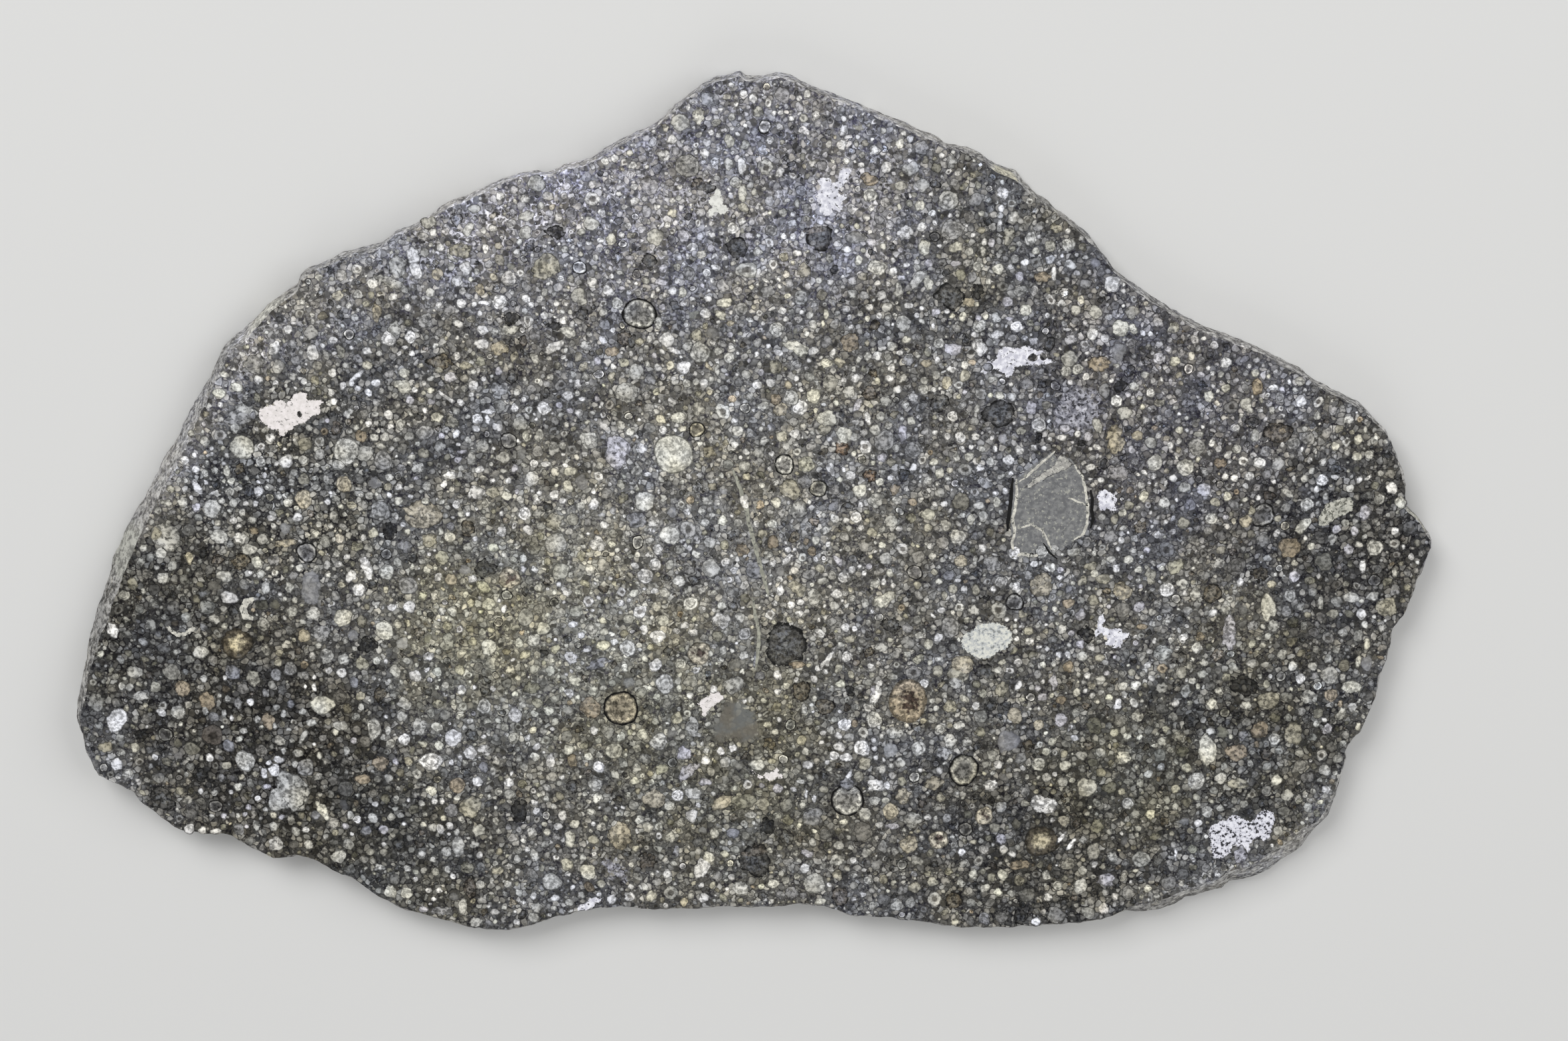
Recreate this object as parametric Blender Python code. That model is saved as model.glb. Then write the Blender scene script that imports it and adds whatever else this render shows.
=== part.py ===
"""A sawn and polished slice of a chondrite meteorite, lying on its sawn back.

Metres, +Z up. The polished face looks up, +X is the right of the slice and +Y its crown.
The origin is on the surface that the slice lies on, under the middle of its outline's box.
"""

import bmesh
import bpy
from mathutils import Vector, kdtree, noise

MM = 0.001

# Driving dimensions
SLICE_WIDTH = 126.4 * MM
SLICE_THICKNESS = 3.5 * MM

# The stone's natural rim, between the two sawn faces
RIM_SAMPLE_SPACING = 0.72 * MM
RIM_LEVELS = (0.0, 0.07, 0.3, 0.62, 0.93, 1.0)
RIM_SLOPE_POWER = 1.6
BACK_EDGE_WEAR = 0.25 * MM
FRONT_EDGE_WEAR = 0.12 * MM
RIM_ROUGHNESS = 0.16 * MM
RIM_LUMP_SIZE = 1.9 * MM
NORMAL_SMOOTHING = 3
WELD_DISTANCE = 0.001 * MM

STONE_COLOUR = (0.16, 0.16, 0.155, 1.0)
STONE_ROUGHNESS = 0.5
STONE_METALLIC = 0.0

# The widest outline, clockwise from the crown. Each point is x, y and slope in millimetres:
# x from the middle of the view, y above the lowest edge, and slope how far the polished face
# stops short of this outline, where the rim leans back and shows beside the face.
CROWN = (
    (-10.8, 77.2, 0.0), (-9.0, 78.8, 0.0), (-6.6, 80.5, 0.0), (-4.8, 81.0, 0.0), (-3.9, 81.2, 0.0),
    (-3.4, 80.8, 0.0), (-1.8, 80.8, 0.0), (-0.6, 81.1, 0.0), (0.6, 80.9, 0.0), (2.4, 80.0, 0.0),
)
RIGHT_SHOULDER = (
    (7.1, 78.2, 0.0), (10.7, 76.6, 0.0), (13.9, 75.3, 0.0), (14.6, 74.8, 0.0), (15.5, 74.7, 0.0),
    (17.4, 74.0, 0.0), (19.2, 72.9, 0.2), (20.9, 72.3, 0.3), (21.4, 71.7, 0.2), (22.8, 70.3, 0.0),
    (25.3, 68.3, 0.0), (27.9, 66.2, 0.0), (28.9, 64.8, 0.0), (30.2, 63.2, 0.0), (31.5, 62.2, 0.0),
    (36.4, 59.0, 0.0), (38.9, 57.8, 0.0), (43.2, 56.2, 0.0), (45.1, 55.1, 0.0), (47.0, 54.3, 0.0),
    (48.5, 53.1, 0.0), (52.3, 51.2, 0.0), (53.9, 49.9, 0.0), (55.2, 48.4, 0.0), (56.5, 45.5, 0.0),
)
RIGHT_SIDE = (
    (57.0, 43.9, 0.0), (57.1, 41.6, 0.0), (57.5, 41.3, 0.0), (58.7, 40.1, 0.0), (59.7, 38.5, 0.0),
    (59.4, 37.0, 0.0), (58.0, 32.6, 0.0), (57.5, 31.2, 0.0), (56.8, 30.2, 0.0), (56.5, 29.0, 0.0),
    (56.2, 26.9, 0.0), (55.6, 25.3, 0.0), (55.2, 22.8, 0.0), (54.1, 19.9, 0.0), (53.0, 18.5, 0.0),
    (52.8, 16.6, 0.1), (52.6, 14.6, 0.4),
)
LOWER_RIGHT_RIM = (
    (52.3, 12.4, 0.9), (51.8, 10.3, 1.5), (50.5, 8.9, 1.9), (49.7, 7.4, 2.2), (47.7, 6.0, 2.3),
    (46.0, 4.6, 2.4), (44.1, 4.0, 2.3), (42.7, 3.9, 2.0), (42.1, 3.0, 2.2), (38.6, 2.2, 1.9),
    (37.6, 1.5, 1.9), (35.5, 0.8, 1.9), (33.7, 0.6, 1.8), (32.8, 0.8, 1.4),
)
FOOT = (
    (32.1, 1.5, 0.2), (31.1, 1.3, 0.0), (30.3, 1.0, 0.0), (26.4, 0.5, 0.0), (22.2, 0.3, 0.0),
    (17.1, 0.1, 0.0), (15.7, 0.4, 0.0), (11.4, 1.0, 0.0), (8.3, 1.4, 0.0), (6.4, 1.4, 0.0),
    (5.2, 1.9, 0.0), (1.5, 2.6, 0.0), (0.0, 2.3, 0.0), (-4.6, 2.3, 0.0), (-9.0, 2.1, 0.0),
    (-12.2, 2.0, 0.0), (-15.5, 2.3, 0.0), (-19.9, 1.7, 0.0), (-21.7, 1.3, 0.0), (-23.2, 0.7, 0.0),
    (-24.7, 0.3, 0.0), (-26.6, -0.1, 0.0), (-29.0, 0.1, 0.0), (-30.6, 0.5, 0.0), (-34.2, 1.5, 0.0),
    (-37.2, 2.6, 0.0), (-40.5, 4.9, 0.0), (-42.6, 5.9, 0.0), (-44.0, 6.8, 0.0), (-45.9, 7.5, 0.0),
    (-48.3, 7.3, 0.0), (-50.8, 8.6, 0.0), (-52.2, 9.4, 0.0), (-53.7, 9.7, 0.0), (-56.4, 9.9, 0.0),
)
LOWER_LEFT_CORNER = (
    (-58.0, 10.8, 0.0), (-60.7, 13.0, 0.0), (-61.2, 13.9, 0.0), (-61.9, 14.2, 0.0), (-64.3, 15.6, 0.0),
    (-65.0, 16.8, 0.0), (-65.4, 17.6, 0.1), (-66.2, 19.4, 0.5), (-66.7, 20.9, 0.8),
)
LEFT_FLANK = (
    (-66.4, 22.9, 0.9), (-65.8, 25.5, 1.0), (-65.2, 28.1, 1.1), (-63.4, 33.3, 1.5), (-61.9, 37.2, 1.5),
    (-59.1, 42.3, 1.3), (-56.1, 47.4, 1.2), (-53.9, 51.2, 0.9), (-51.5, 55.4, 0.7), (-50.9, 56.5, 0.6),
)
LEFT_SHOULDER = (
    (-49.1, 57.9, 0.5), (-46.6, 60.4, 0.4), (-44.1, 62.1, 0.3), (-43.7, 63.1, 0.2), (-42.4, 63.7, 0.1),
    (-39.9, 64.8, 0.0), (-36.3, 65.8, 0.0), (-35.0, 66.9, 0.0), (-32.6, 67.8, 0.0), (-30.1, 69.5, 0.0),
    (-28.9, 69.9, 0.0), (-24.1, 72.0, 0.0), (-22.8, 72.3, 0.0), (-20.9, 72.3, 0.0), (-19.8, 72.9, 0.0),
    (-18.0, 73.2, 0.0), (-16.8, 73.8, 0.0), (-14.4, 75.3, 0.0), (-12.0, 76.3, 0.0),
)
OUTLINE = (
    CROWN + RIGHT_SHOULDER + RIGHT_SIDE + LOWER_RIGHT_RIM
    + FOOT + LOWER_LEFT_CORNER + LEFT_FLANK + LEFT_SHOULDER
)


def clear_scene():
    """Remove every object that the new file starts with."""
    for old in list(bpy.data.objects):
        bpy.data.objects.remove(old, do_unlink=True)


def scaled_outline():
    """Return the outline's points as x, y, slope in metres, scaled to SLICE_WIDTH."""
    drawn_width = max(p[0] for p in OUTLINE) - min(p[0] for p in OUTLINE)
    scale = SLICE_WIDTH / drawn_width
    return [Vector(point) * scale for point in OUTLINE]


def rounded_span(before, start, end, after):
    """Return evenly spaced points of a Catmull-Rom span, from start up to but not at end."""
    steps = max(1, round((end.xy - start.xy).length / RIM_SAMPLE_SPACING))
    span = []
    for step in range(steps):
        t = step / steps
        tangent_in = (end - before) * 0.5
        tangent_out = (after - start) * 0.5
        reach = (end - start).length
        tangent_in *= min(1.0, reach / max(tangent_in.length, WELD_DISTANCE))
        tangent_out *= min(1.0, reach / max(tangent_out.length, WELD_DISTANCE))
        point = (
            start * (2 * t**3 - 3 * t**2 + 1)
            + tangent_in * (t**3 - 2 * t**2 + t)
            + end * (3 * t**2 - 2 * t**3)
            + tangent_out * (t**3 - t**2)
        )
        span.append(point)
    return span


def sample_outline():
    """Return closely spaced x, y, slope points on one smooth closed line through the outline."""
    points = scaled_outline()
    count = len(points)
    samples = []
    for i in range(count):
        samples += rounded_span(points[i - 1], points[i], points[(i + 1) % count], points[(i + 2) % count])
    return samples


def outward_normals(samples):
    """Return the outward direction at each sample, steady over small notches."""
    count = len(samples)
    normals = []
    for i in range(count):
        ahead = samples[(i + NORMAL_SMOOTHING) % count]
        behind = samples[i - NORMAL_SMOOTHING]
        along = (ahead - behind).xy.normalized()
        normals.append(Vector((-along.y, along.x, 0.0)))
    return normals


def flat_slab(samples):
    """Return a mesh of the outline as a filled 2D curve, extruded to the slice's thickness."""
    curve = bpy.data.curves.new("slice_outline", "CURVE")
    curve.dimensions = "2D"
    curve.fill_mode = "BOTH"
    curve.extrude = SLICE_THICKNESS / 2
    spline = curve.splines.new("POLY")
    spline.points.add(len(samples) - 1)
    for spline_point, sample in zip(spline.points, samples):
        spline_point.co = (sample.x, sample.y, 0.0, 1.0)
    spline.use_cyclic_u = True
    drawn = bpy.data.objects.new("slice_outline", curve)
    drawn.location.z = SLICE_THICKNESS / 2
    bpy.context.scene.collection.objects.link(drawn)
    bpy.context.view_layer.update()
    evaluated = drawn.evaluated_get(bpy.context.evaluated_depsgraph_get())
    mesh = bpy.data.meshes.new_from_object(evaluated)
    mesh.transform(drawn.matrix_world)
    bpy.data.objects.remove(drawn, do_unlink=True)
    return mesh


def rim_inset(level, slope, place):
    """Return how far in from the outline the rim lies at a level between back (0) and front (1)."""
    lean = slope * level**RIM_SLOPE_POWER
    wear = 0.0
    if level == 0.0:
        wear = BACK_EDGE_WEAR
    if level == 1.0:
        wear = FRONT_EDGE_WEAR
    lumps = noise.noise(place / RIM_LUMP_SIZE) + 0.5 * noise.noise(place / (RIM_LUMP_SIZE * 0.4))
    return lean + wear - RIM_ROUGHNESS * lumps


def shape_rim(body, samples):
    """Cut the slab's side into levels and lean, wear and roughen it into the natural rim."""
    caps = [face for face in body.faces if abs(face.normal.z) > 0.5]
    bmesh.ops.delete(body, geom=caps, context="FACES")
    risers = [edge for edge in body.edges if abs(edge.verts[0].co.z - edge.verts[1].co.z) > WELD_DISTANCE]
    bmesh.ops.subdivide_edges(body, edges=risers, cuts=len(RIM_LEVELS) - 2, use_grid_fill=True)

    normals = outward_normals(samples)
    nearest = kdtree.KDTree(len(samples))
    for i, sample in enumerate(samples):
        nearest.insert((sample.x, sample.y, 0.0), i)
    nearest.balance()

    for vertex in body.verts:
        _, i, _ = nearest.find((vertex.co.x, vertex.co.y, 0.0))
        row = round(vertex.co.z / SLICE_THICKNESS * (len(RIM_LEVELS) - 1))
        level = RIM_LEVELS[row]
        inset = rim_inset(level, samples[i].z, vertex.co)
        vertex.co -= normals[i] * inset
        vertex.co.z = SLICE_THICKNESS * level


def close_faces(body):
    """Fill the flat sawn back and the flat polished face, and leave the slab all triangles."""
    open_edges = [edge for edge in body.edges if edge.is_boundary]
    bmesh.ops.holes_fill(body, edges=open_edges, sides=0)
    bmesh.ops.triangulate(body, faces=body.faces[:], quad_method="BEAUTY", ngon_method="BEAUTY")
    bmesh.ops.recalc_face_normals(body, faces=body.faces[:])


def centre_on_origin(body):
    """Move the slab so that the middle of its outline's box is over the origin."""
    low = Vector(min(v.co[axis] for v in body.verts) for axis in range(3))
    high = Vector(max(v.co[axis] for v in body.verts) for axis in range(3))
    middle = (low + high) / 2
    bmesh.ops.translate(body, verts=body.verts[:], vec=(-middle.x, -middle.y, -low.z))


def stone_material():
    """Return the plain dark grey of the stone."""
    material = bpy.data.materials.new("stone")
    material.use_nodes = True
    shader = material.node_tree.nodes["Principled BSDF"]
    shader.inputs["Base Color"].default_value = STONE_COLOUR
    shader.inputs["Roughness"].default_value = STONE_ROUGHNESS
    shader.inputs["Metallic"].default_value = STONE_METALLIC
    return material


def build_slice(collection):
    """Build the slice as one closed body and put it in the collection."""
    samples = sample_outline()
    mesh = flat_slab(samples)
    body = bmesh.new()
    body.from_mesh(mesh)
    bmesh.ops.remove_doubles(body, verts=body.verts[:], dist=WELD_DISTANCE)
    shape_rim(body, samples)
    close_faces(body)
    centre_on_origin(body)
    body.to_mesh(mesh)
    body.free()
    mesh.name = "chondrite_slice"
    mesh.materials.clear()
    mesh.materials.append(stone_material())
    mesh.shade_smooth()
    mesh.set_sharp_from_angle(angle=0.6)
    slice_object = bpy.data.objects.new("chondrite_slice", mesh)
    collection.objects.link(slice_object)
    return slice_object


def main():
    """Build the chondrite slice."""
    clear_scene()
    collection = bpy.data.collections.new("chondrite_meteorite")
    bpy.context.scene.collection.children.link(collection)
    build_slice(collection)


main()
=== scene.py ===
"""Looks of a sawn and polished chondrite slice that lies on its sawn back.

Lengths are metres in the CAD model's frame: the polished face looks up (+Z), the slice's crown is
towards +Y. Places on the face that follow the photograph are given by its pixels, 2361 by 1568.
"""

import logging
import math
from dataclasses import dataclass
from enum import Enum
from typing import Mapping, Optional, Sequence, Union

import bmesh
import bpy
import numpy as np
from mathutils import Matrix, Vector, kdtree, noise


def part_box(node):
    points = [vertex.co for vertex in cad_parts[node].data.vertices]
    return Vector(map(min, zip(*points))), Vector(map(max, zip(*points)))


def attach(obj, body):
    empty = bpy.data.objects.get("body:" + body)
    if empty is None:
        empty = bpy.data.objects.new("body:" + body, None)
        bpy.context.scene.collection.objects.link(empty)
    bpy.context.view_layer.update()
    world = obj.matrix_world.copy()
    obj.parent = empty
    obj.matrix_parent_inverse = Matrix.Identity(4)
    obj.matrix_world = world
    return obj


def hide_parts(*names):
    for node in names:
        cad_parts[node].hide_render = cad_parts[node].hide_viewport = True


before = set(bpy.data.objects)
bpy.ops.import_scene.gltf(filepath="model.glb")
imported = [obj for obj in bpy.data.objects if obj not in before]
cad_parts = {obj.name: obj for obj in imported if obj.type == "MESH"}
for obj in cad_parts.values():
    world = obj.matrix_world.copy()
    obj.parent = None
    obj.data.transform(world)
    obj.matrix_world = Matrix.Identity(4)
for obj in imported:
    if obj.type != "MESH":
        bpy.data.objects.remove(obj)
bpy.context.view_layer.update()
# Without a seed of its own, noise_vector takes its offsets from the clock and differs from run to run
noise.seed_set(1)

LOG = logging.getLogger("chondrite_slice")
MM = 0.001
Colour = tuple[float, float, float]
Value = Union[float, int, "Wire"]

SLICE_NODE = "chondrite_slice"
BODY = "root"
FACE_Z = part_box(SLICE_NODE)[1].z
# How far the highest grains stand above the stone between them
GRAIN_RELIEF = 0.02 * MM
# How deep grains and inlays reach into the stone, and the slack within which corners are one
ROOT_DEPTH = 0.06 * MM
TINY = 0.001 * MM
STONE_SPECULAR = 0.06
WHITE = (1.0, 1.0, 1.0)


class Wire:
    """A socket of a node, with arithmetic that adds Math nodes."""

    def __init__(self, board: "Board", socket: bpy.types.NodeSocket) -> None:
        """Keep the board that the socket belongs to."""
        self.board = board
        self.socket = socket

    def _math(self, operation: str, first: Value, second: Value) -> "Wire":
        """Return the result of one Math node."""
        return self.board.node("ShaderNodeMath", {"operation": operation}, {0: first, 1: second})[0]

    def __add__(self, other: Value) -> "Wire":
        """Return self + other."""
        return self._math("ADD", self, other)

    def __radd__(self, other: Value) -> "Wire":
        """Return other + self."""
        return self._math("ADD", other, self)

    def __sub__(self, other: Value) -> "Wire":
        """Return self - other."""
        return self._math("SUBTRACT", self, other)

    def __rsub__(self, other: Value) -> "Wire":
        """Return other - self."""
        return self._math("SUBTRACT", other, self)

    def __mul__(self, other: Value) -> "Wire":
        """Return self * other."""
        return self._math("MULTIPLY", self, other)

    def __rmul__(self, other: Value) -> "Wire":
        """Return other * self."""
        return self._math("MULTIPLY", other, self)

    def __pow__(self, other: Value) -> "Wire":
        """Return self to the power of other."""
        return self._math("POWER", self, other)


class Outputs:
    """The outputs of a new node, each read as a Wire by its name or number."""

    def __init__(self, board: "Board", node: bpy.types.Node) -> None:
        """Keep the node and its board."""
        self.board = board
        self.made = node

    def __getitem__(self, key: Union[int, str]) -> Wire:
        """Return one output as a Wire."""
        return Wire(self.board, self.made.outputs[key])


class Board:
    """The node tree of one material, built up by expressions."""

    def __init__(self, name: str) -> None:
        """Make a material with only a Principled shader on its output."""
        self.material = bpy.data.materials.new(name)
        self.material.use_nodes = True
        self.tree = self.material.node_tree
        self.shader = self.tree.nodes["Principled BSDF"]

    def node(self, kind: str, settings: Mapping[str, object], inputs: Mapping[object, object]) -> Outputs:
        """Add a node.

        Args:
            kind: the node's type, such as ShaderNodeMath.
            settings: properties that are set before the sockets.
            inputs: socket name or number to a value or a Wire.

        Returns:
            The node's outputs.
        """
        made = self.tree.nodes.new(kind)
        for name, setting in settings.items():
            setattr(made, name, setting)
        for key, value in inputs.items():
            self.feed(made.inputs[key], value)
        return Outputs(self, made)

    def feed(self, socket: bpy.types.NodeSocket, value: object) -> None:
        """Link a Wire to a socket, or set the socket's own value."""
        if isinstance(value, Wire):
            self.tree.links.new(value.socket, socket)
        elif socket.type == "RGBA" and len(value) == 3:
            socket.default_value = (*value, 1.0)
        else:
            socket.default_value = value

    def place_mm(self) -> Wire:
        """Return the place on the piece in millimetres, from its Object coordinates."""
        place = self.node("ShaderNodeTexCoord", {}, {})["Object"]
        return self.scaled(place, 1.0 / MM)

    def scaled(self, vector: Wire, factor: Value) -> Wire:
        """Return a vector or colour times one value."""
        return self.node("ShaderNodeVectorMath", {"operation": "SCALE"}, {0: vector, "Scale": factor})[0]

    def shifted(self, vector: Wire, by: Sequence[float]) -> Wire:
        """Return a vector plus a fixed one."""
        return self.node("ShaderNodeVectorMath", {"operation": "ADD"}, {0: vector, 1: tuple(by)})[0]

    def times(self, first: Wire, second: object) -> Wire:
        """Return one colour multiplied by another."""
        return self.node("ShaderNodeVectorMath", {"operation": "MULTIPLY"}, {0: first, 1: second})[0]

    def distance(self, vector: Wire, point: Sequence[float]) -> Wire:
        """Return how far a vector is from a fixed point."""
        settings = {"operation": "DISTANCE"}
        return self.node("ShaderNodeVectorMath", settings, {0: vector, 1: tuple(point)})["Value"]

    def distance_to_line(self, vector: Wire, start: Sequence[float], end: Sequence[float]) -> Wire:
        """Return how far a vector is from the line between two fixed points."""
        run = Vector(end) - Vector(start)
        own = self.shifted(vector, -Vector(start))
        inputs = {0: own, 1: tuple(run / run.length_squared)}
        along = self.node("ShaderNodeVectorMath", {"operation": "DOT_PRODUCT"}, inputs)["Value"]
        share = self.node("ShaderNodeClamp", {}, {"Value": along})[0]
        inputs = {0: tuple(run), "Scale": share}
        nearest = self.node("ShaderNodeVectorMath", {"operation": "SCALE"}, inputs)[0]
        return self.node("ShaderNodeVectorMath", {"operation": "DISTANCE"}, {0: own, 1: nearest})["Value"]

    def step(self, value: Value, low: Value, high: Value) -> Wire:
        """Return a smooth step of a value, from 0 at low to 1 at high."""
        inputs = {"Value": value, "From Min": low, "From Max": high}
        return self.node("ShaderNodeMapRange", {"interpolation_type": "SMOOTHSTEP"}, inputs)[0]

    def mixed(self, mask: Value, first: object, second: object) -> Wire:
        """Return the first colour where the mask is 0 and the second where it is 1."""
        settings = {"data_type": "RGBA", "clamp_factor": True}
        return self.node("ShaderNodeMix", settings, {0: mask, 6: first, 7: second})[2]

    def channels(self, colour: Wire) -> tuple[Wire, Wire, Wire]:
        """Return the red, green and blue of a colour."""
        parts = self.node("ShaderNodeSeparateColor", {}, {0: colour})
        return parts[0], parts[1], parts[2]

    def noise(self, vector: Wire, size_mm: float, detail: float = 2.0, roughness: float = 0.5) -> Wire:
        """Return cloudy noise, about 0 to 1, whose lumps are about size_mm across."""
        inputs = {"Vector": vector, "Scale": 1.0 / size_mm, "Detail": detail, "Roughness": roughness}
        return self.node("ShaderNodeTexNoise", {}, inputs)["Fac"]

    def bent(self, vector: Wire, size_mm: float, by_mm: float) -> Wire:
        """Return a place pushed aside by noise, which makes round things on it irregular."""
        inputs = {"Vector": vector, "Scale": 1.0 / size_mm, "Detail": 1.0}
        push = self.node("ShaderNodeTexNoise", {}, inputs)["Color"]
        middle = self.shifted(push, (-0.5, -0.5, -0.5))
        moved = self.scaled(middle, by_mm)
        return self.node("ShaderNodeVectorMath", {"operation": "ADD"}, {0: vector, 1: moved})[0]

    def attribute(self, name: str, output: str) -> Wire:
        """Return a named attribute of the mesh."""
        return self.node("ShaderNodeAttribute", {"attribute_name": name}, {})[output]

    def bump(self, height_mm: Wire) -> Wire:
        """Return a normal that follows a height given in millimetres."""
        inputs = {"Height": height_mm, "Distance": MM, "Strength": 1.0}
        return self.node("ShaderNodeBump", {}, inputs)["Normal"]

    def finish(self, colour: Wire, roughness: Wire, relief_mm: Wire) -> bpy.types.Material:
        """Feed the shader with its colour, roughness and relief, and return the material."""
        self.shader.inputs["Specular IOR Level"].default_value = STONE_SPECULAR
        self.feed(self.shader.inputs["Base Color"], colour)
        self.feed(self.shader.inputs["Roughness"], roughness)
        self.feed(self.shader.inputs["Normal"], self.bump(relief_mm))
        return self.material


@dataclass(frozen=True)
class PhotoView:
    """The photograph's camera, placed over the lying slice as it was before the standing one."""

    width_px: float = 2361.0
    height_px: float = 1568.0
    focal_px: float = 4700.0
    sensor_mm: float = 36.0
    tilt: float = math.radians(15.0)
    middle_x: float = 3.5 * MM
    foot_y: float = -40.55 * MM
    rise: float = 114.7 * MM
    distance: float = 277.25 * MM

    def eye(self) -> Vector:
        """Return the camera's place."""
        return Vector((self.middle_x, self.foot_y + self.rise, FACE_Z + self.distance))

    def on_face(self, px: float, py: float) -> Vector:
        """Return the point of the polished face that a pixel of the photograph shows."""
        ray = Vector((px - self.width_px / 2, self.height_px / 2 - py, -self.focal_px))
        ray.rotate(Matrix.Rotation(-self.tilt, 3, "X"))
        eye = self.eye()
        return eye + ray * ((FACE_Z - eye.z) / ray.z)

    def make_camera(self) -> None:
        """Create the camera and make it the scene's."""
        lens = bpy.data.cameras.new("photo_camera")
        lens.sensor_width = self.sensor_mm
        lens.lens = self.sensor_mm * self.focal_px / self.width_px
        lens.clip_start = 10 * MM
        lens.clip_end = 10.0
        camera = bpy.data.objects.new("photo_camera", lens)
        camera.location = self.eye()
        camera.rotation_euler = (-self.tilt, 0.0, 0.0)
        bpy.context.scene.collection.objects.link(camera)
        bpy.context.scene.camera = camera


VIEW = PhotoView()

@dataclass(frozen=True)
class Zone:
    """A soft region of the face whose ground and grains are lighter, darker or tinted, partly in the stone's
    own tone and partly as painted light and shade.

    The centre is a pixel of the photograph, and reach is where the region has faded out. Its grains are
    coarser than elsewhere where coarse is above 1. A region with an end is a belt from its centre to
    there.
    """

    name: str
    px: float
    py: float
    reach_mm: float
    ground: Colour
    grains: Colour
    coarse: float = 1.0
    end: Optional[tuple[float, float]] = None

    def centre_mm(self) -> Vector:
        """Return the centre on the face in millimetres, at no height."""
        point = VIEW.on_face(self.px, self.py) / MM
        return Vector((point.x, point.y, 0.0))

    def end_mm(self) -> Vector:
        """Return the belt's end on the face in millimetres, at no height."""
        point = VIEW.on_face(*self.end) / MM
        return Vector((point.x, point.y, 0.0))

    def away_from(self, x_mm: np.ndarray, y_mm: np.ndarray) -> np.ndarray:
        """Return how far points are from the centre or the belt's line, in reaches."""
        centre = self.centre_mm()
        own_x, own_y = x_mm - centre.x, y_mm - centre.y
        if self.end is not None:
            run = self.end_mm() - centre
            share = np.clip((own_x * run.x + own_y * run.y) / run.length_squared, 0.0, 1.0)
            own_x, own_y = own_x - share * run.x, own_y - share * run.y
        return np.hypot(own_x, own_y) / self.reach_mm


# Tuned by comparing light and dark regions of the render with the photograph
# Painted light and shade as well as the stone's own tone: the zones make the face lighter towards the crown
# and the middle and darker towards the foot and the edges
ZONES = (
    Zone("crown", 1150, 200, 24.0, (2.7, 2.72, 3.05), (1.28, 1.29, 1.40), 0.6),
    Zone("crown_left", 820, 340, 18.0, (2.05, 2.06, 2.2), (1.22, 1.22, 1.28), 0.8),
    Zone("middle", 1070, 800, 26.0, (1.95, 1.95, 1.91), (1.25, 1.24, 1.21), 1.0),
    Zone("middle_left", 780, 960, 19.0, (1.95, 1.92, 1.7), (1.18, 1.17, 1.06), 1.0),
    Zone("middle_low", 1080, 1130, 18.0, (1.25, 1.23, 1.06), (0.97, 0.96, 0.86), 1.0),
    Zone("left_upper", 440, 750, 14.0, (0.4, 0.4, 0.4), (1.12, 1.12, 1.09), 1.5),
    Zone("left_flank", 190, 930, 17.0, (0.34, 0.33, 0.32), (0.62, 0.62, 0.605), 1.0),
    Zone("left_low", 410, 1130, 18.0, (0.24, 0.23, 0.2), (0.52, 0.505, 0.47), 1.3),
    Zone("foot_left", 600, 1300, 15.0, (0.56, 0.56, 0.54), (0.7, 0.7, 0.67), 0.9),
    Zone("foot_right", 1580, 1290, 20.0, (0.44, 0.44, 0.42), (0.72, 0.71, 0.68), 1.0),
    Zone("right_low", 1900, 1110, 16.0, (0.42, 0.42, 0.41), (0.72, 0.72, 0.7), 1.1),
    Zone("right_tip", 2060, 820, 15.0, (0.34, 0.34, 0.345), (0.58, 0.58, 0.59), 1.1),
    Zone("right_upper", 1760, 580, 20.0, (1.0, 1.0, 1.13), (0.98, 0.98, 1.07), 0.9),
    Zone("below_middle_left", 690, 950, 10.0, (1.2, 1.2, 1.12), (1.16, 1.15, 1.1), 1.0),
    Zone("crown_right", 1280, 350, 9.0, (1.3, 1.3, 1.33), (1.15, 1.15, 1.18), 1.0),
    Zone("above_clast", 1440, 640, 9.0, (1.3, 1.3, 1.32), (1.1, 1.1, 1.12), 1.0),
    Zone("right_band", 1850, 960, 8.0, (1.5, 1.48, 1.38), (1.2, 1.19, 1.14), 1.0),
    Zone("right_shoulder", 1850, 780, 8.0, (0.8, 0.8, 0.8), (0.8, 0.8, 0.82), 1.0),
    Zone("foot_middle", 1250, 1230, 9.0, (0.85, 0.85, 0.83), (0.84, 0.83, 0.81), 1.0),
    Zone("olive_low_right", 1690, 1150, 10.0, (1.35, 1.32, 1.12), (0.96, 0.95, 0.86), 0.9),
    Zone("belt_upper_left", 372, 530, 2.6, (3.2, 3.2, 3.35), (1.2, 1.2, 1.25), 0.4, (195, 800)),
    Zone("belt_crown_left", 430, 490, 6.5, (2.4, 2.4, 2.5), (1.05, 1.05, 1.08), 0.5, (800, 290)),
    Zone("belt_low_right", 2000, 1200, 1.7, (3.0, 3.0, 3.0), (1.3, 1.3, 1.3), 0.4, (1935, 1288)),
    Zone("belt_foot_right", 1920, 1300, 1.5, (3.0, 3.0, 3.0), (1.3, 1.3, 1.3), 0.4, (1720, 1356)),
)

# The share of a zone's reach within which it has its full effect
ZONE_CORE = 0.25


def smooth_step(value: np.ndarray, low: float, high: float) -> np.ndarray:
    """Return the same smooth step as Board.step, for arrays."""
    t = np.clip((value - low) / (high - low), 0.0, 1.0)
    return t * t * (3.0 - 2.0 * t)


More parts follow.
